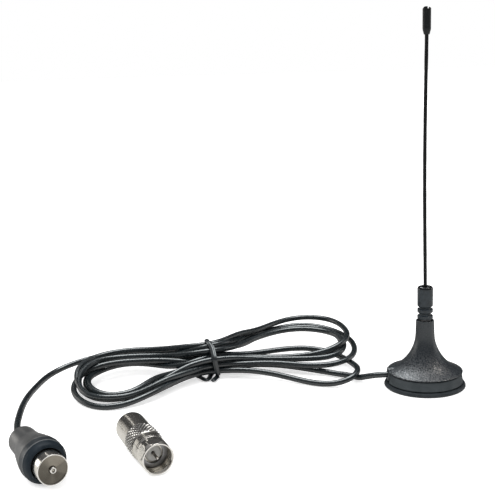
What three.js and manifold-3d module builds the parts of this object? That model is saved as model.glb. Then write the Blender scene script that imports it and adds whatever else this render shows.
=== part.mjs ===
// Indoor whip aerial on a weighted magnetic base, with its coiled lead, coaxial plug, wire tie and
// a loose plug adapter. Millimetres, +Z up. The origin is the centre of the foot's underside;
// +X points away from the lead's outlet, -Y towards the plug end of the lead.
import * as THREE from "three";
import { mergeVertices } from "three/addons/utils/BufferGeometryUtils.js";
import Module from "manifold-3d";

const wasm = await Module();
wasm.setup();

const GAP = 0.3; // clearance between neighbouring pieces of one assembly

// ---- materials ----------------------------------------------------------------------------
const finish = (settings) => new THREE.MeshStandardMaterial(settings);
const abs = () => finish({ color: 0x232628, roughness: 0.5, metalness: 0 });
const rubber = () => finish({ color: 0x1b1d20, roughness: 0.75, metalness: 0 });
const pvc = () => finish({ color: 0x14171a, roughness: 0.38, metalness: 0 });
const blackMetal = () => finish({ color: 0x141517, roughness: 0.32, metalness: 0.4 });
const blackRod = () => finish({ color: 0x0e0f11, roughness: 0.4, metalness: 0.3 });
const nickel = () => finish({ color: 0xc9c5bb, roughness: 0.22, metalness: 1 });
const turned = () => finish({ color: 0x8b8677, roughness: 0.35, metalness: 1 });
const brass = () => finish({ color: 0xb8964a, roughness: 0.35, metalness: 1 });
const copper = () => finish({ color: 0xb8693a, roughness: 0.35, metalness: 1 });
const steel = () => finish({ color: 0x9c9da0, roughness: 0.35, metalness: 1 });
const ferrite = () => finish({ color: 0x3a3b3d, roughness: 0.7, metalness: 0.1 });
const dielectric = () => finish({ color: 0xe3e0d6, roughness: 0.5, metalness: 0 });

// ---- meshes and solids --------------------------------------------------------------------
const MERGE_DISTANCE = 1e-3;

// Merged vertices, no collapsed faces, faces pointing out.
function clean(geometry) {
  const bare = new THREE.BufferGeometry();
  bare.setAttribute("position", geometry.attributes.position);
  bare.setIndex(geometry.index);
  const merged = mergeVertices(bare, MERGE_DISTANCE);
  const corners = merged.index.array;
  const corner = (i) =>
    new THREE.Vector3().fromBufferAttribute(merged.attributes.position, i);
  const kept = [];
  let volume = 0; // six times the signed volume
  for (let i = 0; i < corners.length; i += 3) {
    const [first, second, third] = corners.slice(i, i + 3);
    if (first === second || second === third || third === first) continue;
    kept.push(first, second, third);
    volume += corner(first).dot(corner(second).cross(corner(third)));
  }
  if (volume < 0)
    for (let i = 0; i < kept.length; i += 3)
      [kept[i + 1], kept[i + 2]] = [kept[i + 2], kept[i + 1]];
  merged.setIndex(kept);
  merged.computeVertexNormals();
  return merged;
}

function solid(geometry) {
  const { attributes, index } = clean(geometry);
  return new wasm.Manifold(
    new wasm.Mesh({
      numProp: 3,
      vertProperties: attributes.position.array,
      triVerts: new Uint32Array(index.array),
    }),
  );
}

function geometryOf(manifold) {
  const { vertProperties, triVerts } = manifold.getMesh();
  const geometry = new THREE.BufferGeometry();
  const positions = new Float32Array(vertProperties);
  geometry.setAttribute("position", new THREE.BufferAttribute(positions, 3));
  geometry.setIndex([...triVerts]);
  return geometry;
}

// ---- shapes -------------------------------------------------------------------------------
// Turned piece round +Z from a closed or axis-to-axis profile of [radius, z].
const turnedPiece = (profile, segments) =>
  new THREE.LatheGeometry(
    profile.map(([radius, z]) => new THREE.Vector2(radius, z)),
    segments,
  ).rotateX(Math.PI / 2);

const ring = ({ inner, outer, z0, z1, segments }) =>
  turnedPiece([[inner, z0], [outer, z0], [outer, z1], [inner, z1], [inner, z0]], segments);

const cylinder = ({ radius, z0, z1, segments }) =>
  turnedPiece([[0, z0], [radius, z0], [radius, z1], [0, z1]], segments);

const chamferedRod = ({ radius, z0, z1, segments, chamfer }) =>
  turnedPiece(
    [
      [0, z0], [radius - chamfer, z0], [radius, z0 + chamfer],
      [radius, z1 - chamfer], [radius - chamfer, z1], [0, z1],
    ],
    segments,
  );

// Solid cylinder laid along +X from x0 to x1, its axis at height z.
const cylinderAlongX = ({ radius, x0, x1, z, segments = 24 }) =>
  solid(
    cylinder({ radius, z0: x0, z1: x1, segments }).rotateY(Math.PI / 2).translate(0, 0, z),
  );

// Round wire swept through [x, y, z] points.
function wire(points, radius, sides) {
  const curve = new THREE.CatmullRomCurve3(
    points.map((point) => new THREE.Vector3(...point)),
    false,
    "centripetal",
  );
  // Stepping by curve parameter, not arc length, puts one ring of vertices at each point.
  curve.getPointAt = (u, target) => curve.getPoint(u, target);
  curve.getTangentAt = (u, target) => curve.getTangent(u, target);
  const outline = [];
  for (let k = 0; k < sides; k++) {
    const angle = (2 * Math.PI * k) / sides;
    outline.push(new THREE.Vector2(radius * Math.cos(angle), radius * Math.sin(angle)));
  }
  return new THREE.ExtrudeGeometry(new THREE.Shape(outline), {
    steps: points.length - 1,
    extrudePath: curve,
    bevelEnabled: false,
    curveSegments: 1,
  });
}

// ---- base ---------------------------------------------------------------------------------
const FOOT_R = 15;
const FOOT_TOP_Z = 1.6;
const ABOVE_FOOT_Z = FOOT_TOP_Z + GAP; // underside of the band and the magnet
const BAND_INNER_R = 12.2;
const BAND_TOP_Z = 5.25;

const SHELL_RIM_Z = 5.62; // lower edge of the trumpet-shaped shell
const SHELL_RIM_R = 13.3;
const NECK_TOP_Z = 25.2; // top of the neck, where the whip screws in
const NECK_BORE_R = 2.6;
const OUTLET_R = 2.8; // lead outlet on the side of the shell
const OUTLET_Z = 4.4;
const OUTLET_END_X = -13.9;
const OUTLET_UNDERSIDE_Z = 1.95;
const LEAD_HOLE_R = 1.45;
const LEAD_HOLE_Z = OUTLET_Z - 0.1;
const LEAD_COUNTERBORE_R = 2.05;

const MAGNET_R = 9.3;
const MAGNET_TOP_Z = 4.1;
const MAGNET_ROOM = { radius: 9.9, z0: 0, z1: 5.9, segments: 48 }; // kept clear of the outlet
const INSERT_R = NECK_BORE_R - GAP;
const INSERT_BORE_R = 1.6;
const INSERT_BOTTOM_Z = 14.7;
const INSERT_TOP_Z = 24.6;

// Shell outline, [radius, z]: outer curve from the rim up to the neck.
const SHELL_OUTER = [
  [SHELL_RIM_R, SHELL_RIM_Z], [13.72, 5.7], [13.87, 5.95], [13.68, 6.2], [13.18, 6.42],
  [12.2, 6.8], [11.17, 7.3], [9.8, 8.1], [8.51, 9.05], [7.61, 10], [6.77, 11], [6.07, 12],
  [5.42, 13], [4.97, 14], [4.44, 15], [4.09, 16], [3.82, 17], [3.56, 18.6], [3.44, 20.5],
  [3.35, 23], [3.29, 25.05], [3.2, NECK_TOP_Z],
];
// Shell cavity, [radius, z], from the neck back down to the rim.
const SHELL_INNER = [
  [NECK_BORE_R, NECK_TOP_Z], [NECK_BORE_R, 15.8], [3.25, 15.2], [3.25, 14.4], [4.6, 12.2],
  [5.6, 10.9], [7.0, 9.1], [8.4, 7.7], [10.2, 6.4], [12.2, SHELL_RIM_Z],
  [SHELL_RIM_R, SHELL_RIM_Z],
];
// Centrelines inside the shell, [x, y, z].
const FEED_WIRE_PATH = [
  [-9.5, 0, 5.5], [-8.2, 0, 5.8], [-6.2, 0.3, 6.6], [-4.6, 0.4, 8.6],
  [-3.4, 0.3, 11], [-2.4, 0, 13.2], [-2.2, 0, 14.35],
];
const BRAID_PATH = [[-9.6, 1.6, 5.5], [-8.4, 2.3, 5.55], [-7, 3.2, 5.5], [-5.8, 4.2, 5.45]];

const footPad = () =>
  turnedPiece(
    [
      [0, 0], [14.6, 0], [FOOT_R, 0.35], [FOOT_R, 0.8], [14.72, 1.3],
      [14.4, FOOT_TOP_Z], [0, FOOT_TOP_Z],
    ],
    36,
  );

// Rubber skirt round the magnet, notched for the lead outlet.
function baseBand() {
  const skirt = turnedPiece(
    [
      [BAND_INNER_R, ABOVE_FOOT_Z], [14.0, ABOVE_FOOT_Z], [14.1, 2.3], [13.82, 2.8],
      [13.72, 3.8], [13.55, 4.9], [13.3, BAND_TOP_Z], [BAND_INNER_R, BAND_TOP_Z],
      [BAND_INNER_R, ABOVE_FOOT_Z],
    ],
    36,
  );
  const notch = cylinderAlongX({ radius: OUTLET_R + GAP, x0: -16, x1: -9, z: OUTLET_Z });
  return geometryOf(solid(skirt).subtract(notch));
}

// Round stub for the lead, flat underneath and cut back round the magnet.
function leadOutlet() {
  const stub = cylinderAlongX({
    radius: OUTLET_R,
    x0: OUTLET_END_X,
    x1: -9.4,
    z: OUTLET_Z,
    segments: 28,
  });
  const depth = 4;
  const below = new THREE.BoxGeometry(12, 8, depth);
  below.translate(-12, 0, OUTLET_UNDERSIDE_Z - depth / 2);
  return stub.subtract(solid(below)).subtract(solid(cylinder(MAGNET_ROOM)));
}

function baseShell() {
  const trumpet = solid(turnedPiece([...SHELL_OUTER, ...SHELL_INNER], 36));
  const hole = cylinderAlongX({ radius: LEAD_HOLE_R, x0: -15, x1: -9, z: LEAD_HOLE_Z });
  const counterbore = cylinderAlongX({
    radius: LEAD_COUNTERBORE_R,
    x0: -12.1,
    x1: -9,
    z: LEAD_HOLE_Z,
  });
  return geometryOf(trumpet.add(leadOutlet()).subtract(hole).subtract(counterbore));
}

const ringMagnet = () =>
  ring({ inner: 3, outer: MAGNET_R, z0: ABOVE_FOOT_Z, z1: MAGNET_TOP_Z, segments: 32 });
const magnetPlate = () =>
  ring({ inner: 2.2, outer: MAGNET_R - GAP, z0: MAGNET_TOP_Z + GAP, z1: 5, segments: 32 });

const threadedInsert = () =>
  turnedPiece(
    [
      [INSERT_BORE_R, INSERT_BOTTOM_Z], [2.9, INSERT_BOTTOM_Z], [2.9, 15.4], [INSERT_R, 15.9],
      [INSERT_R, INSERT_TOP_Z], [INSERT_BORE_R, INSERT_TOP_Z],
      [INSERT_BORE_R, INSERT_BOTTOM_Z],
    ],
    28,
  );

// Turned to lie along -X, round the lead inside the outlet's counterbore.
const leadClampRing = () =>
  ring({ inner: 1.35, outer: 1.85, z0: 10.75, z1: 11.75, segments: 24 })
    .rotateY(-Math.PI / 2)
    .translate(0, 0, LEAD_HOLE_Z);

// ---- lead ---------------------------------------------------------------------------------
const LEAD_R = 1.1;
const LEAD_SIDES = 6;
const CORE_R = 0.42;
const CORE_BORE_R = 0.65;
const BORE_OVERRUN = 0.5; // bore beyond the jacket's end, and beyond the core's inner end
const TIE_R = 0.75;

// Centreline of the coiled lead, [x, y, z], from inside the shell to inside the plug.
const LEAD_PATH = [
  [-10.53, -0.03, 4.31], [-15.51, 0.23, 4.22], [-17.93, 0.82, 3.89], [-22.29, 2.9, 2.58],
  [-24.22, 4.25, 1.87], [-31.65, 9.98, 1.8], [-38.34, 13.04, 1.81], [-50.16, 16.65, 2.86],
  [-57.37, 18.06, 3.25], [-64.58, 18.21, 3.39], [-71.76, 16.67, 3.26], [-83.49, 13.33, 3.39],
  [-87.42, 11.03, 3.46], [-92.1, 6.42, 3.33], [-94.8, 3.01, 2.77], [-96.77, -1, 1.84],
  [-98, -2.96, 1.8], [-99.68, -4.47, 1.93], [-107.64, -9.3, 1.37], [-112.08, -11.27, 1.31],
  [-114.48, -11.82, 1.26], [-116.94, -11.97, 1.22], [-119.38, -11.69, 1.24], [-121.72, -10.99, 1.33],
  [-123.86, -9.88, 1.56], [-125.73, -8.38, 1.9], [-128.5, -4.6, 3.04], [-130.58, -0.6, 4.81],
  [-131.12, 1.49, 5.82], [-131.26, 3.66, 6.73], [-131.11, 5.92, 7.35], [-130.02, 10.54, 7.75],
  [-128.01, 14.87, 7.95], [-124.91, 18.57, 8.15], [-120.91, 21.34, 8.34], [-116.33, 23.11, 8.49],
  [-111.45, 23.83, 8.6], [-106.49, 23.51, 8.73], [-99.18, 21.43, 9.35], [-92.08, 19.12, 11.15],
  [-85, 17.28, 11.7], [-82.77, 17.47, 12.04], [-80.72, 18.31, 12.26], [-78.9, 19.65, 12.25],
  [-75.99, 23.35, 11.8], [-73.69, 27.65, 11.74], [-71.01, 31.82, 12.23], [-67.82, 35.87, 11.39],
  [-63.7, 42.57, 10.16], [-57.68, 51.2, 9.94], [-52.55, 56.83, 10.06], [-48.51, 59.67, 10.15],
  [-46.26, 60.62, 10.2], [-43.89, 61.19, 10.24], [-41.46, 61.33, 10.24], [-39.05, 61.05, 10.21],
  [-36.73, 60.36, 10.15], [-34.59, 59.26, 10.09], [-32.69, 57.8, 10.02], [-31.1, 56.01, 9.96],
  [-28.87, 51.77, 9.88], [-27.13, 44.71, 9.87], [-26.27, 37.39, 9.9], [-26.42, 32.49, 9.91],
  [-26.91, 30.11, 9.85], [-27.8, 27.89, 9.59], [-29.06, 25.92, 9.13], [-30.65, 24.23, 8.57],
  [-32.53, 22.87, 8.01], [-36.94, 21.13, 7.02], [-44.26, 20.33, 6.11], [-54.21, 19.75, 5.77],
  [-64.13, 18.49, 6.36], [-73.8, 15.89, 7.43], [-78.37, 14.47, 6.64], [-80.69, 14.02, 6.07],
  [-85.29, 12.94, 6.38], [-87.58, 12.46, 6.6], [-92.47, 12.78, 6.93], [-97.47, 13.41, 7.49],
  [-107.56, 14.02, 6.86], [-114.98, 13.25, 7.01], [-119.71, 11.79, 6.86], [-126.46, 8.76, 6.07],
  [-128.41, 7.4, 5.74], [-129.95, 5.77, 4.9], [-131, 3.9, 3.94], [-131.61, 1.82, 3.08],
  [-131.82, -0.45, 2.42], [-131.6, -2.85, 2.07], [-129.83, -7.5, 1.86], [-126.06, -13.99, 1.38],
  [-122.95, -17.76, 1.19], [-121.01, -19.19, 1.18], [-118.8, -20.13, 1.18], [-116.41, -20.49, 1.18],
  [-113.98, -20.3, 1.19], [-111.64, -19.65, 1.27], [-107.35, -17.42, 1.88], [-101.88, -12.87, 3.09],
  [-97.36, -7.52, 3.57], [-91.44, 2.23, 3.42], [-87.34, 7.26, 3.29], [-84.02, 9.97, 3.21],
  [-82.08, 10.99, 3.19], [-79.93, 11.64, 3.15], [-77.7, 11.86, 3.09], [-73.41, 11.26, 3.31],
  [-67.09, 9.9, 3.8], [-57.86, 8.17, 2.97], [-50.96, 5.89, 1.98], [-39.94, 0.62, 1.18],
  [-35.27, -0.88, 1.21], [-32.86, -1.24, 1.37], [-30.47, -1.21, 1.75], [-28.24, -0.69, 2.4],
  [-26.39, 0.44, 3.26], [-25.14, 2.17, 4.15], [-24.51, 4.37, 4.69], [-24.38, 9.17, 3.83],
  [-25.41, 16.55, 2.83], [-26.61, 21.36, 2.8], [-28.75, 25.76, 3.05], [-32.01, 29.35, 3.26],
  [-33.94, 30.63, 3.77], [-36.1, 31.5, 4.29], [-40.82, 32.03, 5.01], [-48.04, 30.86, 5.46],
  [-57.6, 27.82, 5.53], [-66.86, 23.54, 5.68], [-73.49, 20.08, 6.74], [-79.49, 16.02, 8.37],
  [-81.08, 14.4, 8.7], [-83.65, 11.17, 8.01], [-85.27, 10.08, 7.51], [-87.22, 9.48, 7.08],
  [-89.46, 9.5, 6.75], [-91.83, 10.03, 6.37], [-94.18, 10.98, 5.66], [-96.45, 12.34, 4.92],
  [-101.04, 15.33, 4.91], [-105.94, 17.12, 5.11], [-110.95, 17.67, 5.08], [-115.86, 17.11, 5.03],
  [-120.36, 15.34, 4.87], [-122.26, 13.93, 4.61], [-123.76, 12.14, 4.17], [-124.78, 10, 3.73],
  [-125.39, 7.58, 3.88], [-126.1, 2.79, 4.9], [-125.79, -2.12, 5.19], [-124.61, -6.81, 4.75],
  [-123.6, -8.95, 4.41], [-122.22, -10.85, 4.09], [-120.46, -12.38, 3.77], [-118.37, -13.44, 3.49],
  [-116.07, -13.95, 3.27], [-113.68, -13.9, 3.15], [-111.34, -13.32, 3.17], [-109.17, -12.27, 3.33],
  [-107.25, -10.83, 3.61], [-104.16, -7.14, 4.27], [-102.09, -2.66, 5.02], [-101.21, -0.24, 5.1],
  [-98.3, 3.46, 4.07], [-92.46, 10.39, 3.55], [-89.12, 13.24, 4.11], [-85.18, 15.34, 4.65],
  [-80.64, 16.61, 4.97], [-73.43, 18.32, 4.79], [-63.73, 21.62, 4.47], [-56.3, 23.08, 4.15],
  [-43.79, 23.79, 4.33], [-38.8, 24.35, 4.64], [-34.06, 25.87, 5.18], [-32.05, 27.26, 5.52],
  [-30.53, 29.18, 5.68], [-29.02, 33.75, 5.47], [-28.7, 38.44, 6.06], [-29.74, 42.91, 6.74],
  [-32.66, 49.19, 6.96], [-35.37, 52.87, 7.01], [-37.15, 54.3, 7.09], [-39.24, 55.29, 7.17],
  [-41.53, 55.83, 7.23], [-43.93, 55.91, 7.28], [-48.69, 54.87, 7.34], [-53.13, 52.53, 7.4],
  [-57.08, 49.22, 7.47], [-62.17, 43.23, 7.58], [-66.34, 36.64, 7.41], [-69.04, 32.25, 7.04],
  [-72, 27.96, 7.96], [-74.78, 23.74, 9.1], [-77.99, 20.03, 9.53], [-81.55, 17.2, 9.65],
  [-83.23, 15.9, 9.41], [-85, 14.91, 8.89], [-87.05, 14.57, 8.24], [-89.25, 14.85, 7.61],
  [-96.08, 17.75, 6.53], [-103.16, 20.59, 5.81], [-108.05, 21.65, 5.58], [-112.99, 21.83, 5.49],
  [-117.79, 20.96, 5.44], [-122.1, 18.89, 5.29], [-123.91, 17.39, 5.15], [-126.6, 13.68, 4.63],
  [-127.44, 11.58, 4.13], [-128.12, 7.06, 2.94], [-128.04, 2.23, 3.08], [-127.56, -0.14, 2.96],
  [-126.71, -2.38, 2.67], [-125.47, -4.43, 2.35], [-123.9, -6.23, 2.07], [-122.03, -7.69, 1.76],
  [-119.9, -8.71, 1.47], [-117.58, -9.2, 1.26], [-115.19, -9.18, 1.19], [-112.85, -8.68, 1.19],
  [-108.5, -6.67, 1.39], [-102.51, -2.93, 2.16], [-100.54, -1.81, 2.74], [-96.76, 0.4, 4.69],
  [-91.28, 4.07, 6.72], [-87.48, 5.69, 8.06], [-83.98, 7.67, 8.32], [-80.29, 9.86, 8.28],
  [-71.13, 13.56, 7.78], [-66.3, 15.33, 6.92], [-58.92, 16.59, 5.87], [-46.53, 17.61, 5.54],
  [-39.1, 18.03, 5.38], [-34.35, 19.13, 5.55], [-32.23, 20.21, 5.74], [-30.46, 21.71, 5.97],
  [-29.17, 23.6, 6.22], [-28.39, 25.73, 6.49], [-28.02, 30.19, 7.38], [-28.29, 32.42, 7.95],
  [-29.66, 36.9, 8.35], [-31.69, 41.28, 8.21], [-33.15, 43.22, 8.24], [-34.96, 44.86, 8.34],
  [-37.05, 46.13, 8.48], [-41.76, 47.55, 8.73], [-46.69, 47.56, 8.86], [-51.47, 46.25, 8.84],
  [-55.87, 43.78, 8.74], [-59.81, 40.38, 8.67], [-64.93, 34.08, 8.79], [-72.04, 22.06, 9.45],
  [-75.34, 17.63, 10.08], [-79.18, 14.03, 10.91], [-81.37, 12.81, 11.14], [-83.75, 12.25, 10.83],
  [-86.22, 12.32, 10.24], [-91.27, 13.8, 9.27], [-98.82, 16.68, 8.1], [-106.35, 18.14, 7.73],
  [-111.33, 18.02, 7.74], [-116.17, 16.79, 7.79], [-120.66, 14.46, 8.01], [-124.57, 11.16, 8.73],
  [-126.1, 9.05, 8.82], [-128.16, 4.56, 7.58], [-128.84, -0.23, 6.93], [-129.05, -4.75, 5.86],
  [-128.72, -6.78, 5.03], [-127.99, -8.74, 4.41], [-125.58, -12.39, 3.93], [-122.34, -15.53, 3.99],
  [-118.45, -17.84, 4.09], [-116.28, -18.46, 4.05], [-114.02, -18.54, 3.97], [-111.81, -18.03, 3.9],
  [-109.81, -16.97, 3.87], [-104.84, -12.24, 3.97], [-98.85, -5.3, 4.83], [-95.73, -2.39, 5.67],
  [-92.24, -0.05, 6.01], [-88.92, 2.58, 5.65], [-84.78, 7.79, 5.67], [-81.33, 10.69, 5.84],
  [-76.9, 12.4, 5.69], [-72.15, 13.03, 5.2], [-60.01, 13.76, 5.51], [-52.66, 13.52, 5.14],
  [-42.87, 12.3, 4.44], [-37.91, 12.39, 4.43], [-33.09, 13.51, 4.42], [-28.79, 15.79, 4.79],
  [-27.06, 17.44, 5.13], [-25.74, 19.43, 5.43], [-24.85, 21.68, 5.6], [-24.1, 26.49, 5.9],
  [-24.27, 36.31, 6.13], [-25.65, 43.5, 6.02], [-27.56, 47.99, 6.07], [-30.32, 52.02, 6.31],
  [-33.86, 55.37, 6.69], [-38.09, 57.74, 7.13], [-42.84, 58.7, 7.5], [-47.66, 58.18, 7.61],
  [-52.14, 56.33, 7.45], [-56.18, 53.5, 7.32], [-61.58, 48.02, 7.61], [-66.22, 41.41, 8.36],
  [-68.7, 36.48, 8.97], [-70.9, 28.65, 10.32], [-74.33, 21.41, 11.71], [-77.6, 17.4, 12.5],
  [-79.56, 15.95, 12.72], [-81.63, 15.02, 12.61], [-83.73, 14.59, 12.16], [-85.83, 14.69, 11.45],
  [-87.9, 15.41, 10.61], [-91.63, 18.2, 8.61], [-95.6, 21.67, 7.82], [-102.36, 25.65, 6.88],
  [-107.13, 27.33, 6.41], [-112.02, 28.09, 6.23], [-116.92, 27.86, 6.18], [-123.99, 26.09, 5.93],
  [-133.25, 23.49, 4.71], [-137.69, 21.94, 3.75], [-139.7, 20.75, 3.23], [-141.45, 19.21, 2.79],
  [-142.85, 17.33, 2.47], [-143.85, 15.21, 2.31], [-144.84, 10.59, 2.4], [-145.18, -1.51, 3.5],
  [-144.91, -13.8, 4.67], [-143.93, -26.13, 5.73], [-142.16, -38.15, 6.54], [-140.09, -49.64, 6.88],
  [-138.14, -56.38, 6.94], [-135.23, -62.39, 6.95], [-130.36, -69.96, 6.95],
];

// Centreline of the wire tie, [x, y, z]: once round the bundle, both ends on the ground.
const TIE_PATH = [
  [-79.71, 7.38, 0.92], [-78.75, 8.04, 0.91], [-77.9, 8.72, 1.33], [-77.6, 8.83, 2.39],
  [-77.82, 8.39, 3.45], [-78.1, 7.86, 4.46], [-78.23, 7.31, 5.49], [-78.29, 6.72, 6.51],
  [-78.43, 6.23, 7.57], [-78.66, 6.1, 8.7], [-79.01, 6.57, 9.7], [-79.39, 7.41, 10.43],
  [-79.77, 8.37, 10.99], [-80.14, 9.31, 11.59], [-80.52, 10.25, 12.18], [-80.89, 11.2, 12.77],
  [-81.27, 12.14, 13.36], [-81.64, 13.07, 13.98], [-82.01, 14.06, 14.49], [-82.34, 15.16, 14.7],
  [-82.58, 16.3, 14.54], [-82.83, 17.44, 14.4], [-83.05, 18.56, 14.13], [-83.12, 19.49, 13.45],
  [-82.98, 19.92, 12.38], [-82.7, 19.88, 11.24], [-82.39, 19.66, 10.13], [-82.08, 19.5, 9.01],
  [-81.78, 19.34, 7.88], [-81.47, 19.15, 6.76], [-81.17, 19, 5.64], [-80.86, 18.83, 4.52],
  [-80.49, 18.29, 3.55], [-80.12, 17.47, 2.8], [-79.73, 16.57, 2.14], [-79.35, 15.69, 1.47],
  [-79.04, 14.61, 1.16], [-78.67, 13.5, 1.15], [-78.37, 12.37, 1.15], [-78.91, 11.35, 1.16],
  [-79.7, 10.48, 1.14], [-80.42, 9.56, 1.03], [-81.12, 8.62, 0.94], [-82.13, 8.15, 0.91],
  [-82.91, 8.99, 0.91], [-83.37, 10.07, 0.92], [-83.72, 11.2, 0.92], [-84, 12.34, 0.92],
];

// Each end of the lead: its path inwards, and the core's length inside and outside the jacket.
const BASE_END = { path: LEAD_PATH, inside: 3, outside: 0.7 };
const PLUG_END = { path: [...LEAD_PATH].reverse(), inside: 3.5, outside: 5.4 };

// Cylinder on the lead's axis at one end, reaching inside and outside the jacket.
function endCylinder({ path, radius, inside, outside }) {
  const end = new THREE.Vector3(...path[0]);
  const inward = new THREE.Vector3(...path[1]).sub(end).normalize();
  const turn = new THREE.Quaternion().setFromUnitVectors(new THREE.Vector3(0, 1, 0), inward);
  const centre = end.addScaledVector(inward, (inside - outside) / 2);
  return new THREE.CylinderGeometry(radius, radius, inside + outside, 12)
    .applyQuaternion(turn)
    .translate(...centre.toArray());
}
const leadCore = (end) => endCylinder({ ...end, radius: CORE_R });
const coreBore = ({ path, inside }) =>
  solid(
    endCylinder({
      path,
      radius: CORE_BORE_R,
      inside: inside + BORE_OVERRUN,
      outside: BORE_OVERRUN,
    }),
  );
const leadJacket = () =>
  geometryOf(
    solid(wire(LEAD_PATH, LEAD_R, LEAD_SIDES))
      .subtract(coreBore(BASE_END))
      .subtract(coreBore(PLUG_END)),
  );

// ---- whip ---------------------------------------------------------------------------------
const ROD_R = 0.62;
const ROD_BORE_R = ROD_R + GAP;
const ROD_BOTTOM_Z = 31;
const ROD_TOP_Z = 131.4;
const STUD_R = 1.25; // plain stand-in for an M3 screw
const STUD_BORE_R = STUD_R + GAP;
const STUD_TOP_Z = 30.4;
const WHIP_SHOULDER_Z = 25.7;
const FERRULE_TOP_Z = 37.7;
const FERRULE_R = 2.85;
const TIP_BASE_Z = 127.95;
const TIP_TOP_Z = 137.5;
const TIP_R = 1.47;

const lockWasher = () =>
  ring({ inner: 1.45, outer: 2.3, z0: 24.95, z1: 25.45, segments: 28 });

// Grooved sleeve: wide bore below for the stud, narrow bore above for the rod.
const whipFerrule = () =>
  turnedPiece(
    [
      [STUD_BORE_R, WHIP_SHOULDER_Z], [2.62, WHIP_SHOULDER_Z], [2.82, 25.95], [2.83, 26.95],
      [2.7, 27.1], [2.15, 27.3], [2.15, 27.7], [2.75, 28.25], [2.84, 28.4], [2.84, 29.3],
      [2.7, 29.48], [2.12, 29.65], [2.12, 30], [2.7, 30.5], [FERRULE_R, 30.7],
      [FERRULE_R, 36.85], [2.6, 37.4], [2.0, FERRULE_TOP_Z], [ROD_BORE_R, FERRULE_TOP_Z],
      [ROD_BORE_R, ROD_BOTTOM_Z], [STUD_BORE_R, STUD_TOP_Z + GAP],
      [STUD_BORE_R, WHIP_SHOULDER_Z],
    ],
    24,
  );

const whipStud = () =>
  chamferedRod({ radius: STUD_R, z0: 17.5, z1: STUD_TOP_Z, segments: 24, chamfer: 0.25 });
const whipRod = () =>
  chamferedRod({
    radius: ROD_R,
    z0: ROD_BOTTOM_Z,
    z1: ROD_TOP_Z,
    segments: 16,
    chamfer: 0.1,
  });

// Cap with a socket for the rod below and a shallow dimple on top.
const tipCap = () =>
  turnedPiece(
    [
      [ROD_BORE_R, TIP_BASE_Z], [1.0, TIP_BASE_Z], [TIP_R - 0.05, 129.7], [TIP_R, 129.95],
      [TIP_R, 137.1], [1.2, TIP_TOP_Z], [0.75, TIP_TOP_Z], [0.55, 136.9], [0, 136.8],
      [0, 131.8], [ROD_BORE_R, ROD_TOP_Z + GAP], [ROD_BORE_R, TIP_BASE_Z],
    ],
    24,
  );

// ---- coaxial plug on the lead; local +Z runs back from the front rim ------------------------
const PLUG_FRONT = [-120.1, -85.95, 6.95];
const PLUG_AZIMUTH = -57.3; // direction the plug's mouth faces, degrees from +X
const PLUG_LENGTH = 27;
const PLUG_LEAD_HOLE_R = 1.45;
const SLEEVE_R = 4.7625; // 9.525 mm coaxial plug
const SLEEVE_R_IN = 4.35;
const PLUG_PIN_R = 1.05;
// Radii of the discs between the pin and the sleeve.
const PLUG_DISC = { inner: PLUG_PIN_R + GAP, outer: SLEEVE_R_IN - GAP, segments: 28 };

const plugOvermould = () =>
  turnedPiece(
    [
      [5.1, 4.6], [5.6, 5.1], [6.2, 6.0], [6.66, 7.2], [6.88, 8.2], [6.95, 9.6], [6.93, 10.3],
      [6.6, 12.6], [6.11, 15], [5.59, 17.4], [5.07, 19.8], [4.82, 22.2], [4.62, 24.6],
      [4.4, 26.6], [4.0, PLUG_LENGTH], [PLUG_LEAD_HOLE_R, PLUG_LENGTH],
      [PLUG_LEAD_HOLE_R, 20.3], [3.1, 20.1], [3.1, 15.8], [5.1, 15.4], [5.1, 4.6],
    ],
    30,
  );

// Cup, open at the front, with a hole in its back wall.
const plugSleeve = () =>
  turnedPiece(
    [
      [SLEEVE_R_IN + 0.05, 0], [4.66, 0], [SLEEVE_R, 0.12], [SLEEVE_R, 15], [1.7, 15],
      [1.7, 14.4], [SLEEVE_R_IN, 14.4], [SLEEVE_R_IN, 0.06], [SLEEVE_R_IN + 0.05, 0],
    ],
    32,
  );

const plugFace = () => ring({ ...PLUG_DISC, z0: 0.3, z1: 1.6 });
const plugInsulator = () => ring({ ...PLUG_DISC, z0: 5, z1: 8.5 });
const plugPin = () =>
  turnedPiece(
    [
      [0.55, -0.5], [0.9, -0.5], [PLUG_PIN_R, -0.3], [PLUG_PIN_R, 13.1], [0, 13.1],
      [0, 1.2], [0.55, 1.2], [0.55, -0.5],
    ],
    20,
  );
const plugCrimp = () => ring({ inner: 1.42, outer: 2.6, z0: 16.2, z1: 19.7, segments: 28 });

// ---- loose adapter; local +Z runs back from the front rim -----------------------------------
const ADAPTER_FRONT = [-90.7, -76.35, 5.5];
const ADAPTER_AZIMUTH = -65.4; // direction the nut end faces, degrees from +X
const ADAPTER_LENGTH = 29;
const BODY_BORE_R = 2.6;
const BODY_FRONT_R = 3.45;
const REAR_BORE_R = 3.2;
const ADAPTER_PIN_R = 0.45;
const SOCKET_R = 1.6;
const NUT_FLATS = 9.9; // across flats
const NUT_LENGTH = 6.9;
const NUT_MOUTH_R = 4.62;
const NUT_BACK_BORE_R = BODY_FRONT_R + GAP;
const LIP_R = NUT_FLATS / 2;

const adapterBody = () =>
  turnedPiece(
    [
      [BODY_BORE_R, 5.3], [BODY_FRONT_R, 5.3], [BODY_FRONT_R, 7.4], [4.7, 7.4], [4.86, 7.6],
      [4.86, 10.5], [5.3, 10.7], [5.3, 17.6], [5.1, 17.9], [5.08, 24], [5.06, 28.7],
      [4.96, ADAPTER_LENGTH], [4.8, ADAPTER_LENGTH], [4.8, 18.9], [REAR_BORE_R, 18.9],
      [REAR_BORE_R, 15.6], [BODY_BORE_R, 15.6], [BODY_BORE_R, 5.3],
    ],
    30,
  );

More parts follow.
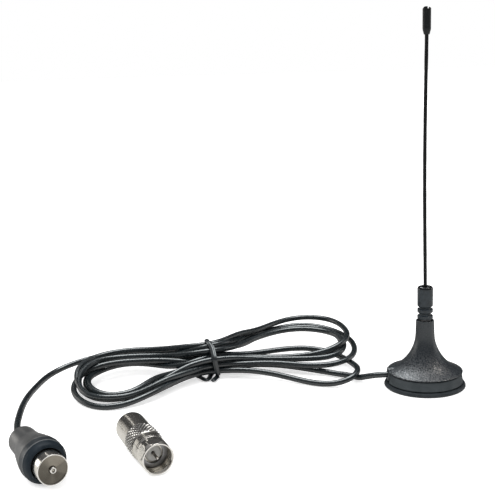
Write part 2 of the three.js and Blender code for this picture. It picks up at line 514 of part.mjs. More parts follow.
// Hexagonal union nut with turned-off corners and a round lip.
function adapterNut() {
  const cornerR = NUT_FLATS / 2 / Math.cos(Math.PI / 6);
  const hexBar = new THREE.CylinderGeometry(cornerR, cornerR, NUT_LENGTH, 6)
    .rotateX(Math.PI / 2)
    .rotateZ(Math.PI / 6)
    .translate(0, 0, NUT_LENGTH / 2);
  const envelope = turnedPiece(
    [
      [NUT_MOUTH_R, 0], [4.8, 0], [LIP_R, 0.15], [5.05, 0.9], [5.36, 2.4], [5.36, 6.6],
      [5.1, NUT_LENGTH], [NUT_BACK_BORE_R, NUT_LENGTH], [NUT_BACK_BORE_R, 5.6],
      [NUT_MOUTH_R, 5.4], [NUT_MOUTH_R, 0],
    ],
    30,
  );
  const lip = turnedPiece(
    [
      [NUT_MOUTH_R, 0], [4.8, 0], [LIP_R, 0.15], [LIP_R, 0.9], [NUT_MOUTH_R, 0.9],
      [NUT_MOUTH_R, 0],
    ],
    30,
  );
  return geometryOf(solid(envelope).intersect(solid(hexBar)).add(solid(lip)));
}

const adapterNutClip = () => ring({ inner: 3, outer: 4.3, z0: 4.5, z1: 5.1, segments: 28 });
const adapterFrontInsulator = () =>
  ring({
    inner: ADAPTER_PIN_R + GAP,
    outer: BODY_BORE_R - GAP,
    z0: 5.2,
    z1: 9,
    segments: 24,
  });
const adapterPin = () =>
  turnedPiece(
    [[0, 0.6], [0.2, 0.6], [ADAPTER_PIN_R, 0.95], [ADAPTER_PIN_R, 16.2], [0, 16.2]],
    16,
  );
const adapterRearInsulator = () =>
  ring({
    inner: SOCKET_R + GAP,
    outer: REAR_BORE_R - GAP,
    z0: 16,
    z1: 18.6,
    segments: 28,
  });
const adapterSocketContact = () =>
  turnedPiece(
    [
      [0, 16.6], [SOCKET_R, 16.6], [SOCKET_R, 26.4], [1.2, 26.6], [1.12, 26.4],
      [1.12, 18], [0, 18],
    ],
    20,
  );

// ---- assembly -----------------------------------------------------------------------------
const antenna = new THREE.Group();

function place(name, geometry, material, parent = antenna) {
  const mesh = new THREE.Mesh(clean(geometry), material);
  mesh.name = name;
  parent.add(mesh);
}

// Group at a front rim, its local +Z pointing opposite to the azimuth.
function alongAxis(front, azimuthDeg) {
  const azimuth = (azimuthDeg * Math.PI) / 180;
  const group = new THREE.Group();
  group.position.set(...front);
  group.quaternion.setFromUnitVectors(
    new THREE.Vector3(0, 0, 1),
    new THREE.Vector3(-Math.cos(azimuth), -Math.sin(azimuth), 0),
  );
  antenna.add(group);
  return group;
}

place("foot_pad", footPad(), rubber());
place("base_band", baseBand(), rubber());
place("base_shell", baseShell(), abs());
place("ring_magnet", ringMagnet(), ferrite());
place("magnet_plate", magnetPlate(), steel());
place("threaded_insert", threadedInsert(), brass());
place("feed_wire", wire(FEED_WIRE_PATH, 0.28, 8), copper());
place("braid_tail", wire(BRAID_PATH, 0.35, 8), copper());
place("lead_clamp_ring", leadClampRing(), steel());

place("lead_jacket", leadJacket(), pvc());
place("lead_core_base", leadCore(BASE_END), dielectric());
place("lead_core_plug", leadCore(PLUG_END), dielectric());
place("twist_tie", wire(TIE_PATH, TIE_R, 8), pvc());

place("lock_washer", lockWasher(), steel());
place("whip_ferrule", whipFerrule(), blackMetal());
place("whip_stud", whipStud(), steel());
place("whip_rod", whipRod(), blackRod());
place("tip_cap", tipCap(), blackMetal());

const plug = alongAxis(PLUG_FRONT, PLUG_AZIMUTH);
place("plug_overmould", plugOvermould(), rubber(), plug);
place("plug_sleeve", plugSleeve(), nickel(), plug);
place("plug_face", plugFace(), turned(), plug);
place("plug_insulator", plugInsulator(), dielectric(), plug);
place("plug_pin", plugPin(), nickel(), plug);
place("plug_crimp", plugCrimp(), brass(), plug);

const adapter = alongAxis(ADAPTER_FRONT, ADAPTER_AZIMUTH);
place("adapter_body", adapterBody(), nickel(), adapter);
place("adapter_nut", adapterNut(), nickel(), adapter);
place("adapter_nut_clip", adapterNutClip(), steel(), adapter);
place("adapter_front_insulator", adapterFrontInsulator(), dielectric(), adapter);
place("adapter_pin", adapterPin(), nickel(), adapter);
place("adapter_rear_insulator", adapterRearInsulator(), dielectric(), adapter);
place("adapter_socket_contact", adapterSocketContact(), brass(), adapter);

export default antenna;
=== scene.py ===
"""Looks for a magnetic-base whip aerial, built as fine meshes round the CAD frame.

The base stands on z = 0 at the origin with the whip rising along +Z. The lead leaves towards -X,
coils there and ends at the plug on the -Y side; a loose adapter with a hex nut lies beside it.
Lengths are millimetres, scaled to metres when a mesh is made, unless a comment says metres.
"""
import math

import bpy
import numpy as np
from mathutils import Matrix, Vector


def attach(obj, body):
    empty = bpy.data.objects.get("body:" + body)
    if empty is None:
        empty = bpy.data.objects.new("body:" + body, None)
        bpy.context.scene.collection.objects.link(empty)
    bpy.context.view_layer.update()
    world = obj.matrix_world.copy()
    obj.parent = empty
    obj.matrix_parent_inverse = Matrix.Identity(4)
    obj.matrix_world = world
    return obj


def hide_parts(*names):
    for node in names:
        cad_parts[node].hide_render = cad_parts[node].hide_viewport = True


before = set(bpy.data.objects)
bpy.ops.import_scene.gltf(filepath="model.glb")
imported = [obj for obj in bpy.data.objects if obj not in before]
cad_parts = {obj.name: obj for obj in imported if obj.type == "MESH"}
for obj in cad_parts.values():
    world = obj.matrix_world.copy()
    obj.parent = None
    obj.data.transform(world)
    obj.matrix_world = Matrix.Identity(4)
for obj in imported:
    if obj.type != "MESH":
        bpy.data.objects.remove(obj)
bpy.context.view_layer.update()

MM = 0.001
scene = bpy.context.scene
scene.view_settings.view_transform = "Standard"
scene.view_settings.look = "None"

# The diamond knurl, shared by the adapter's mesh and its material.
KNURL_TEETH = 28
KNURL_START, KNURL_END = 10.75, 17.75
KNURL_PITCH = 1.8


def table(text):
    """An array from text: commas between rows, spaces between columns."""
    return np.array([row.split() for row in text.split(",")], float)


# Centreline of the coiled lead from the shell to the plug: x y z.
LEAD = table("""
-10.53 -0.03 4.31, -13.52 0.19 4.26, -16.48 0.47 4.09, -19.28 1.37 3.56, -21.85 2.66 2.74,
-24.22 4.28 1.94, -26.58 6.13 1.92, -28.98 7.89 1.79, -31.47 9.53 1.69, -34.04 11.03 1.7,
-36.72 12.34 1.79, -39.48 13.47 1.95, -42.3 14.46 2.16, -45.16 15.35 2.39, -48.05 16.16 2.63,
-50.96 16.88 2.84, -53.89 17.49 3.02, -56.85 17.93 3.15, -59.81 18.16 3.24, -62.79 18.15 3.28,
-65.75 17.9 3.28, -68.71 17.44 3.26, -71.65 16.83 3.24, -74.58 16.11 3.23, -77.49 15.3 3.24,
-80.34 14.36 3.28, -83.1 13.23 3.33, -85.7 11.83 3.36, -88.1 10.13 3.32, -90.27 8.14 3.2,
-92.21 5.9 2.98, -93.96 3.5 2.67, -95.63 1.05 2.34, -97.35 -1.34 2.03, -99.24 -3.57 1.79,
-101.38 -5.58 1.61, -103.77 -7.37 1.48, -106.36 -8.92 1.36, -109.1 -10.23 1.26, -111.96 -11.2 1.18,
-114.89 -11.74 1.13, -117.82 -11.74 1.15, -120.65 -11.15 1.28, -123.27 -9.98 1.57,
-125.61 -8.29 2.06, -127.57 -6.19 2.76, -129.13 -3.79 3.67, -130.26 -1.2 4.69, -130.92 1.53 5.7,
-131.12 4.35 6.59, -130.85 7.23 7.27, -130.13 10.08 7.71, -128.99 12.83 7.97, -127.45 15.4 8.12,
-125.55 17.7 8.21, -123.31 19.66 8.3, -120.8 21.26 8.38, -118.07 22.47 8.45, -115.2 23.26 8.52,
-112.25 23.66 8.59, -109.27 23.67 8.67, -106.31 23.33 8.82, -103.39 22.7 9.06, -100.53 21.86 9.41,
-97.69 20.88 9.88, -94.86 19.86 10.4, -92 18.91 10.92, -89.12 18.16 11.38, -86.26 17.8 11.73,
-83.5 18.01 11.96, -80.95 18.9 12.08, -78.67 20.44 12.11, -76.7 22.53 12.08, -74.96 24.96 12.05,
-73.35 27.53 12.01, -71.77 30.12 11.94, -70.16 32.65 11.77, -68.53 35.13 11.48, -66.9 37.6 11.09,
-65.29 40.08 10.68, -63.68 42.58 10.34, -62.06 45.09 10.1, -60.39 47.59 9.97, -58.64 50.04 9.93,
-56.77 52.43 9.95, -54.76 54.69 10, -52.56 56.76 10.07, -50.15 58.54 10.13, -47.53 59.93 10.18,
-44.72 60.82 10.21, -41.82 61.13 10.21, -38.93 60.82 10.18, -36.19 59.87 10.12, -33.73 58.34 10.05,
-31.65 56.3 9.98, -29.98 53.87 9.92, -28.7 51.16 9.88, -27.75 48.28 9.86, -27.06 45.29 9.87,
-26.57 42.26 9.9, -26.27 39.21 9.92, -26.19 36.16 9.92, -26.44 33.16 9.84, -27.09 30.3 9.64,
-28.22 27.66 9.28, -29.85 25.37 8.79, -31.95 23.51 8.19, -34.42 22.12 7.57, -37.16 21.17 7,
-40.07 20.6 6.51, -43.06 20.29 6.13, -46.09 20.12 5.87, -49.11 20 5.71, -52.12 19.86 5.64,
-55.12 19.65 5.67, -58.1 19.35 5.8, -61.06 18.94 6.01, -64 18.42 6.29, -66.91 17.77 6.56,
-69.79 17.03 6.76, -72.66 16.21 6.81, -75.51 15.38 6.71, -78.36 14.58 6.52, -81.24 13.87 6.36,
-84.13 13.32 6.33, -87.05 12.98 6.47, -90 12.89 6.71, -92.96 13.01 6.98, -95.93 13.27 7.18,
-98.91 13.58 7.27, -101.9 13.86 7.27, -104.89 14.03 7.21, -107.89 14.05 7.16, -110.88 13.88 7.14,
-113.86 13.47 7.14, -116.81 12.83 7.11, -119.73 11.95 7, -122.55 10.84 6.76, -125.21 9.47 6.35,
-127.57 7.81 5.74, -129.49 5.82 4.97, -130.83 3.51 4.11, -131.52 0.92 3.3, -131.55 -1.86 2.65,
-131.01 -4.72 2.17, -130 -7.57 1.87, -128.64 -10.35 1.66, -127.01 -12.99 1.52, -125.12 -15.4 1.39,
-122.96 -17.46 1.29, -120.53 -19.01 1.23, -117.86 -19.93 1.22, -115.06 -20.15 1.28,
-112.23 -19.7 1.46, -109.48 -18.66 1.74, -106.88 -17.19 2.12, -104.48 -15.38 2.54,
-102.26 -13.35 2.93, -100.23 -11.14 3.24, -98.37 -8.8 3.43, -96.65 -6.34 3.5, -95.04 -3.79 3.49,
-93.48 -1.2 3.46, -91.88 1.38 3.41, -90.15 3.87 3.37, -88.23 6.18 3.32, -86.07 8.19 3.27,
-83.65 9.78 3.23, -81.01 10.86 3.23, -78.2 11.4 3.28, -75.28 11.44 3.39, -72.31 11.11 3.54,
-69.33 10.58 3.65, -66.37 9.97 3.68, -63.42 9.33 3.58, -60.5 8.67 3.35, -57.61 7.94 3.03,
-54.78 7.09 2.65, -51.99 6.08 2.26, -49.25 4.91 1.91, -46.52 3.62 1.61, -43.79 2.28 1.4,
-40.99 1 1.28, -38.12 -0.1 1.31, -35.2 -0.86 1.52, -32.34 -1.1 1.93, -29.69 -0.69 2.53,
-27.45 0.45 3.2, -25.78 2.29 3.76, -24.75 4.72 4.08, -24.31 7.53 4.08, -24.33 10.55 3.84,
-24.67 13.64 3.48, -25.26 16.71 3.16, -26.08 19.7 2.96, -27.15 22.56 2.91, -28.56 25.22 3.01,
-30.34 27.56 3.24, -32.48 29.47 3.6, -34.95 30.87 4.04, -37.68 31.71 4.5, -40.56 32.03 4.93,
-43.53 31.9 5.26, -46.5 31.42 5.48, -49.45 30.71 5.61, -52.35 29.83 5.67, -55.21 28.83 5.69,
-58.02 27.75 5.69, -60.79 26.58 5.71, -63.53 25.35 5.79, -66.23 24.05 5.97, -68.9 22.7 6.28,
-71.5 21.26 6.74, -74.01 19.69 7.29, -76.4 17.96 7.85, -78.69 16.06 8.28, -80.91 14.1 8.46,
-83.15 12.28 8.32, -85.51 10.87 7.9, -88.01 10.12 7.29, -90.62 10.11 6.6, -93.28 10.8 5.94,
-95.92 12 5.42, -98.56 13.45 5.08, -101.24 14.9 4.93, -104 16.13 4.92, -106.86 17.02 4.97,
-109.82 17.48 5.01, -112.82 17.48 4.99, -115.76 17 4.9, -118.51 16.01 4.72, -120.96 14.5 4.49,
-122.97 12.51 4.3, -124.5 10.09 4.21, -125.53 7.36 4.28, -126.1 4.43 4.49, -126.26 1.39 4.72,
-126.03 -1.67 4.86, -125.4 -4.65 4.83, -124.32 -7.44 4.62, -122.75 -9.9 4.3, -120.7 -11.87 3.94,
-118.25 -13.17 3.63, -115.52 -13.71 3.43, -112.74 -13.46 3.41, -110.08 -12.46 3.56,
-107.71 -10.82 3.85, -105.69 -8.69 4.22, -104 -6.24 4.56, -102.52 -3.63 4.78, -101.11 -0.99 4.8,
-99.62 1.58 4.62, -97.98 4.05 4.34, -96.17 6.41 4.09, -94.19 8.64 3.95, -92.05 10.69 4,
-89.73 12.51 4.19, -87.22 14.03 4.46, -84.54 15.25 4.73, -81.73 16.22 4.94, -78.84 17.03 5.04,
-75.93 17.8 5.05, -73.02 18.6 5, -70.14 19.47 4.9, -67.27 20.35 4.78, -64.39 21.2 4.65,
-61.49 21.93 4.52, -58.56 22.51 4.41, -55.59 22.92 4.33, -52.6 23.17 4.3, -49.57 23.31 4.33,
-46.52 23.42 4.41, -43.47 23.59 4.55, -40.45 23.94 4.75, -37.54 24.6 4.99, -34.87 25.71 5.23,
-32.56 27.33 5.44, -30.75 29.46 5.62, -29.51 32.02 5.79, -28.86 34.87 5.98, -28.76 37.85 6.22,
-29.14 40.85 6.49, -29.95 43.8 6.74, -31.13 46.63 6.93, -32.65 49.28 7.06, -34.52 51.62 7.13,
-36.74 53.52 7.19, -39.27 54.86 7.24, -42.03 55.55 7.29, -44.92 55.59 7.34, -47.8 55.01 7.38,
-50.57 53.92 7.42, -53.17 52.4 7.46, -55.56 50.57 7.5, -57.76 48.5 7.53, -59.77 46.25 7.55,
-61.62 43.88 7.54, -63.34 41.41 7.48, -64.97 38.9 7.39, -66.55 36.35 7.32, -68.11 33.81 7.34,
-69.67 31.29 7.53, -71.26 28.78 7.88, -72.91 26.31 8.36, -74.67 23.89 8.85, -76.56 21.56 9.24,
-78.64 19.41 9.42, -80.91 17.57 9.35, -83.36 16.19 9.03, -85.96 15.42 8.51, -88.65 15.32 7.9,
-91.39 15.84 7.29, -94.15 16.82 6.76, -96.92 18.02 6.33, -99.71 19.25 6.01, -102.54 20.33 5.77,
-105.43 21.19 5.6, -108.38 21.73 5.49, -111.37 21.93 5.42, -114.36 21.72 5.37, -117.27 21.09 5.32,
-120 19.99 5.22, -122.46 18.42 5.02, -124.54 16.41 4.72, -126.17 14.03 4.32, -127.33 11.35 3.86,
-127.99 8.47 3.43, -128.19 5.48 3.08, -127.93 2.46 2.8, -127.18 -0.45 2.55, -125.92 -3.13 2.29,
-124.16 -5.44 1.99, -121.94 -7.23 1.68, -119.37 -8.38 1.4, -116.58 -8.82 1.2, -113.7 -8.58 1.12,
-110.86 -7.76 1.13, -108.12 -6.54 1.3, -105.48 -5.07 1.65, -102.95 -3.51 2.19, -100.5 -1.93 2.93,
-98.1 -0.37 3.84, -95.72 1.15 4.85, -93.32 2.64 5.85, -90.88 4.09 6.77, -88.38 5.5 7.5,
-85.82 6.88 8.01, -83.21 8.25 8.29, -80.55 9.59 8.37, -77.85 10.87 8.3, -75.11 12.08 8.1,
-72.35 13.2 7.81, -69.56 14.21 7.44, -66.73 15.08 7.03, -63.87 15.8 6.61, -60.96 16.35 6.24,
-58.02 16.75 5.96, -55.04 17.04 5.78, -52.04 17.24 5.66, -49.02 17.38 5.58, -45.98 17.48 5.52,
-42.93 17.63 5.48, -39.89 17.93 5.48, -36.94 18.51 5.53, -34.21 19.52 5.68, -31.84 21.03 5.92,
-29.98 23.06 6.27, -28.74 25.53 6.71, -28.13 28.31 7.2, -28.11 31.24 7.66, -28.62 34.2 8.04,
-29.56 37.09 8.29, -30.9 39.81 8.43, -32.63 42.26 8.5, -34.74 44.32 8.56, -37.19 45.92 8.64,
-39.91 47 8.74, -42.81 47.53 8.84, -45.78 47.53 8.91, -48.72 47.03 8.93, -51.55 46.09 8.92,
-54.23 44.74 8.88, -56.71 43.07 8.84, -59 41.12 8.8, -61.1 38.97 8.79, -63.02 36.66 8.82,
-64.77 34.22 8.88, -66.4 31.69 8.97, -67.94 29.1 9.09, -69.43 26.47 9.25, -70.94 23.85 9.47,
-72.55 21.28 9.76, -74.32 18.84 10.1, -76.31 16.63 10.44, -78.54 14.8 10.7, -81.01 13.48 10.78,
-83.68 12.79 10.64, -86.47 12.73 10.3, -89.3 13.23 9.82, -92.14 14.1 9.3, -94.97 15.15 8.82,
-97.81 16.19 8.41, -100.69 17.09 8.12, -103.62 17.75 7.92, -106.59 18.1 7.82, -109.57 18.12 7.8,
-112.53 17.76 7.84, -115.43 17.02 7.96, -118.19 15.9 8.13, -120.76 14.4 8.34, -123.06 12.55 8.5,
-125.04 10.38 8.53, -126.65 7.93 8.38, -127.85 5.25 8.02, -128.66 2.41 7.49, -129.07 -0.51 6.84,
-129.06 -3.43 6.12, -128.59 -6.29 5.42, -127.64 -9.04 4.81, -126.19 -11.6 4.37, -124.29 -13.9 4.12,
-122 -15.83 4.02, -119.42 -17.26 4, -116.67 -18.03 4, -113.88 -18.06 3.99, -111.19 -17.34 3.96,
-108.67 -15.95 3.95, -106.37 -14.07 4, -104.24 -11.9 4.13, -102.21 -9.63 4.36, -100.2 -7.38 4.69,
-98.14 -5.24 5.07, -95.98 -3.23 5.42, -93.76 -1.28 5.67, -91.53 0.66 5.79, -89.35 2.69 5.81,
-87.23 4.79 5.79, -85.1 6.88 5.75, -82.88 8.8 5.73, -80.47 10.41 5.68, -77.85 11.62 5.6,
-75.05 12.42 5.49, -72.12 12.9 5.4, -69.13 13.17 5.35, -66.11 13.34 5.35, -63.1 13.47 5.37,
-60.1 13.54 5.37, -57.12 13.51 5.31, -54.13 13.36 5.18, -51.15 13.09 4.99, -48.17 12.75 4.79,
-45.17 12.42 4.6, -42.15 12.23 4.46, -39.13 12.28 4.39, -36.16 12.65 4.39, -33.31 13.45 4.49,
-30.68 14.7 4.67, -28.4 16.44 4.92, -26.58 18.61 5.2, -25.25 21.16 5.48, -24.4 23.97 5.72,
-23.96 26.94 5.9, -23.81 29.98 6.02, -23.89 33.04 6.08, -24.15 36.07 6.08, -24.6 39.07 6.06,
-25.26 42.01 6.04, -26.19 44.86 6.04, -27.42 47.6 6.09, -28.96 50.17 6.2, -30.82 52.52 6.37,
-32.98 54.58 6.59, -35.41 56.27 6.84, -38.08 57.53 7.08, -40.91 58.29 7.29, -43.83 58.51 7.43,
-46.75 58.19 7.48, -49.59 57.38 7.47, -52.3 56.12 7.42, -54.83 54.51 7.38, -57.19 52.63 7.37,
-59.37 50.54 7.43, -61.38 48.29 7.57, -63.24 45.92 7.77, -64.92 43.45 8.03, -66.41 40.88 8.33,
-67.7 38.21 8.69, -68.8 35.45 9.09, -69.75 32.63 9.54, -70.66 29.79 10.05, -71.64 26.95 10.6,
-72.81 24.18 11.16, -74.25 21.55 11.69, -76.03 19.17 12.11, -78.14 17.2 12.33, -80.53 15.79 12.25,
-83.09 15.09 11.85, -85.69 15.17 11.14, -88.22 15.98 10.25, -90.63 17.37 9.33, -92.97 19.11 8.51,
-95.3 20.98 7.87, -97.7 22.78 7.38, -100.23 24.39 7.01, -102.89 25.74 6.73, -105.67 26.79 6.5,
-108.55 27.5 6.34, -111.49 27.87 6.23, -114.45 27.9 6.16, -117.42 27.61 6.11, -120.37 27.08 6.02,
-123.3 26.39 5.87, -126.22 25.62 5.63, -129.13 24.82 5.28, -132.02 23.97 4.83, -134.83 22.99 4.29,
-137.47 21.75 3.72, -139.82 20.16 3.19, -141.78 18.16 2.75, -143.26 15.76 2.47,
-144.28 13.06 2.37, -144.88 10.16 2.43, -145.17 7.16 2.62, -145.28 4.14 2.89, -145.28 1.11 3.19,
-145.24 -1.9 3.49, -145.19 -4.89 3.8, -145.12 -7.88 4.1, -145.02 -10.86 4.38, -144.9 -13.85 4.66,
-144.73 -16.83 4.94, -144.52 -19.81 5.2, -144.27 -22.78 5.45, -143.96 -25.75 5.7,
-143.6 -28.72 5.93, -143.19 -31.69 6.14, -142.76 -34.65 6.33, -142.28 -37.6 6.5,
-141.79 -40.56 6.64, -141.28 -43.52 6.75, -140.75 -46.46 6.82, -140.14 -49.4 6.88,
-139.42 -52.31 6.91, -138.54 -55.18 6.94, -137.49 -57.99 6.95, -136.21 -60.7 6.95,
-134.66 -63.27 6.95, -133.04 -65.79 6.95, -131.42 -68.32 6.95, -130.36 -69.96 6.95
""")

# The tie round the bundle: x y z of its centreline, then y z of its flat face's normal (x is 0).
TIE_PATH = table("""
-79.695 7.115 0.85 -0.197 0.98, -78.947 10.011 0.8 -0.218 0.976, -78.168 12.099 1 -0.501 0.865,
-78.108 9.65 3.102 -0.999 0.034, -78.214 9.394 4.031 -0.971 -0.24, -78.358 9.162 4.97 -0.97 -0.242,
-78.506 8.931 5.91 -0.972 -0.235, -78.641 8.701 6.849 -0.98 -0.201,
-78.769 8.502 7.791 -0.998 -0.056, -78.906 8.521 8.719 -0.965 0.262,
-79.058 8.95 9.526 -0.802 0.597, -79.224 9.665 10.152 -0.647 0.763,
-79.405 10.451 10.715 -0.589 0.808, -79.605 11.241 11.275 -0.579 0.815,
-79.839 12.03 11.834 -0.578 0.816, -80.137 12.82 12.393 -0.573 0.82,
-80.544 13.61 12.951 -0.538 0.843, -81.078 14.42 13.466 -0.413 0.911,
-81.653 15.31 13.765 -0.198 0.98, -82.102 16.265 13.811 -0.033 0.999,
-82.342 17.232 13.786 0.056 0.998, -82.437 18.194 13.729 0.204 0.979,
-82.479 19.09 13.478 0.514 0.858, -82.479 19.745 12.86 0.852 0.524,
-82.398 19.99 11.986 0.994 0.112, -82.248 19.878 11.045 0.99 -0.138,
-82.07 19.658 10.104 0.975 -0.22, -81.886 19.431 9.164 0.972 -0.234,
-81.701 19.204 8.223 0.972 -0.235, -81.516 18.976 7.283 0.972 -0.236,
-81.333 18.749 6.342 0.97 -0.243, -81.153 18.518 5.403 0.956 -0.294,
-80.982 18.229 4.491 0.899 -0.439, -80.828 17.717 3.702 0.784 -0.621,
-80.691 17.027 3.033 0.685 -0.728, -80.573 16.3 2.396 0.597 -0.802,
-80.482 15.522 1.852 0.423 -0.906, -80.425 14.624 1.591 0.187 -0.982,
-80.4 13.664 1.549 0.041 -0.999, -80.392 12.697 1.55 -0.095 -0.996,
-80.962 13.11 1 -0.289 0.957, -81.489 9.789 0.85 -0.201 0.98, -82.314 8.232 0.8 -0.196 0.981,
-83.64 9.482 0.8 -0.196 0.981, -84.859 11.295 0.85 -0.196 0.981, -85.85 12.041 0.9 -0.196 0.981
""")

# ---------------------------------------------------------------- geometry helpers


def rounded(profile, size=0.08, steps=4):
    """Swap each corner (radius, z[, size]) for a small curve. Size 0 keeps it sharp."""
    points = [np.array(corner[:2], float) for corner in profile]
    out = []
    for i, point in enumerate(points):
        reach = profile[i][2] if len(profile[i]) > 2 else size
        if point[0] < 1e-6 or reach <= 0:
            out.append(point)
            continue
        ends = []
        for other in (points[i - 1], points[(i + 1) % len(points)]):
            length = np.linalg.norm(other - point)
            ends.append(point + (other - point) * (min(reach, 0.45 * length) / length))
        for part in np.linspace(0, 1, steps + 1):
            rest = 1 - part
            out.append(rest**2 * ends[0] + 2 * part * rest * point + part * part * ends[1])
    return out


def spline(points, spacing):
    """Points resampled along an open centripetal Catmull-Rom curve."""

    def blend(first, second, start, end, knot):
        span = end - start
        return (end - knot) / span * first + (knot - start) / span * second

    points = np.array(points, float)
    padded = np.vstack([2 * points[0] - points[1], points, 2 * points[-1] - points[-2]])
    out = []
    for quad in zip(padded, padded[1:], padded[2:], padded[3:]):
        knots = [0.0]
        for here, there in zip(quad, quad[1:]):
            knots.append(knots[-1] + np.linalg.norm(there - here) ** 0.5)
        count = max(1, int(round(np.linalg.norm(quad[2] - quad[1]) / spacing)))
        for knot in knots[1] + (knots[2] - knots[1]) * np.arange(count) / count:
            low, mid, high = (
                blend(quad[k], quad[k + 1], knots[k], knots[k + 1], knot) for k in range(3)
            )
            low = blend(low, mid, knots[0], knots[2], knot)
            high = blend(mid, high, knots[1], knots[3], knot)
            out.append(blend(low, high, knots[1], knots[2], knot))
    out.append(points[-1])
    return np.array(out)


def outward(verts, faces):
    """The solid as (verts, faces), with the faces turned over if its volume is negative."""
    verts = np.array(verts, float)
    volume = 0.0
    for face in faces:
        for j, k in zip(face[1:], face[2:]):
            volume += np.dot(verts[face[0]], np.cross(verts[j], verts[k]))
    if volume < 0:
        faces = [tuple(reversed(face)) for face in faces]
    return verts, faces


def turned(profile, segments, shape=None, arc=None):
    """A closed (radius, z) outline turned round +Z.

    shape(angle, radius, z) gives a changed (radius, z). arc=(start, end) leaves a gap and caps it.
    """
    start, end = arc or (0.0, 2 * math.pi)
    count = segments + 1 if arc else segments
    angles = [start + (end - start) * k / segments for k in range(count)]
    verts, rings, faces = [], [], []
    for radius, z in profile:
        if radius < 1e-6:
            rings.append([len(verts)])
            verts.append((0.0, 0.0, z))
            continue
        rings.append(range(len(verts), len(verts) + count))
        for angle in angles:
            out, height = shape(angle, radius, z) if shape else (radius, z)
            verts.append((out * math.cos(angle), out * math.sin(angle), height))
    for ring, following in zip(rings, rings[1:] + rings[:1]):
        if len(ring) == len(following) == 1:
            continue
        for k in range(segments):
            after = (k + 1) % count
            if len(ring) == 1:
                faces.append((ring[0], following[after], following[k]))
            elif len(following) == 1:
                faces.append((ring[k], ring[after], following[0]))
            else:
                faces.append((ring[k], ring[after], following[after], following[k]))
    if arc:
        faces.append(tuple(ring[0] for ring in rings))
        faces.append(tuple(ring[-1] for ring in reversed(rings)))
    return outward(verts, faces)


def swept(path, section, scale=1.0, normals=None, cap=0):
    """A section of (along normal, across) offsets swept on path; cap rings round off each end."""
    section = np.array(section, float)
    scales = np.broadcast_to(scale, len(path))
    tangents = np.gradient(path, axis=0)
    tangents /= np.linalg.norm(tangents, axis=1)[:, None]
    normal = np.array([0.0, 0.0, 1.0])
    axes = []
    for i, tangent in enumerate(tangents):
        if normals is not None:
            normal = normals[i]
        normal = normal - tangent * np.dot(normal, tangent)
        normal /= np.linalg.norm(normal)
        axes.append((normal, np.cross(tangent, normal)))

    bulge = np.abs(section).max() * 0.6
    last = len(path) - 1
    stations = []  # centre, index on the path, shrink
    for k in range(cap):
        turn = (k + 0.35) / (cap + 0.35) * math.pi / 2
        stations.append((path[0] - tangents[0] * bulge * math.cos(turn), 0, math.sin(turn)))
    stations += [(point, i, 1.0) for i, point in enumerate(path)]
    for k in range(cap):
        turn = (k + 1) / (cap + 0.35) * math.pi / 2
        stations.append((path[-1] + tangents[-1] * bulge * math.sin(turn), last, math.cos(turn)))

    verts, rings, faces = [], [], []
    sides = len(section)
    for centre, i, shrink in stations:
        along, across = axes[i]
        rings.append(range(len(verts), len(verts) + sides))
        verts += [centre + (along * x + across * y) * (scales[i] * shrink) for x, y in section]
    for ring, following in zip(rings, rings[1:]):
        for k in range(sides):
            after = (k + 1) % sides
            faces.append((ring[k], ring[after], following[after], following[k]))
    faces.append(tuple(reversed(rings[0])))
    faces.append(tuple(rings[-1]))
    return outward(verts, faces)


def smooth(mesh, sharp):
    mesh.polygons.foreach_set("use_smooth", [True] * len(mesh.polygons))
    mesh.set_sharp_from_angle(angle=math.radians(sharp))


def piece(name, solid, materials, sharp=40, matrix=None, pick=None):
    """An object from (verts, faces). pick(z of a face's centre) gives its material's index."""
    verts, faces = solid
    mesh = bpy.data.meshes.new(name)
    mesh.from_pydata((verts * MM).tolist(), [], faces)
    mesh.validate()
    mesh.update()
    for material in materials:
        mesh.materials.append(material)
    if pick:
        for face in mesh.polygons:
            face.material_index = pick((face.center / MM).z)
    smooth(mesh, sharp)
    made = bpy.data.objects.new(name, mesh)
    scene.collection.objects.link(made)
    if matrix is not None:
        made.matrix_world = matrix
    return made


def boolean(target, tool, operation):
    """Apply the boolean to target and remove the tool."""
    cut = target.modifiers.new("cut", "BOOLEAN")
    cut.operation, cut.object, cut.solver = operation, tool, "EXACT"
    bpy.context.view_layer.update()
    graph = bpy.context.evaluated_depsgraph_get()
    mesh = bpy.data.meshes.new_from_object(target.evaluated_get(graph))
    target.modifiers.clear()
    old, name = target.data, target.data.name
    target.data = mesh
    bpy.data.meshes.remove(old)
    mesh.name = name
    bpy.data.objects.remove(tool)


def show(made, body, node):
    """Tell the frame which body carries the piece, which CAD node it replaces."""
    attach(made, body)
    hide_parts(node)
    return made


def lying(front, azimuth):
    """Frame of a part lying level: origin at its front, which faces azimuth; +Z runs back."""
    angle = math.radians(azimuth)
    back = Vector((-math.cos(angle), -math.sin(angle), 0))
    turn = Vector((0, 0, 1)).rotation_difference(back)
    return Matrix.Translation(Vector(front) * MM) @ turn.to_matrix().to_4x4()


PLUG = lying(front=(-120.1, -85.95, 6.95), azimuth=-57.3)
ADAPTER = lying(front=(-90.7, -76.35, 5.5), azimuth=-65.4)

# ---------------------------------------------------------------- materials


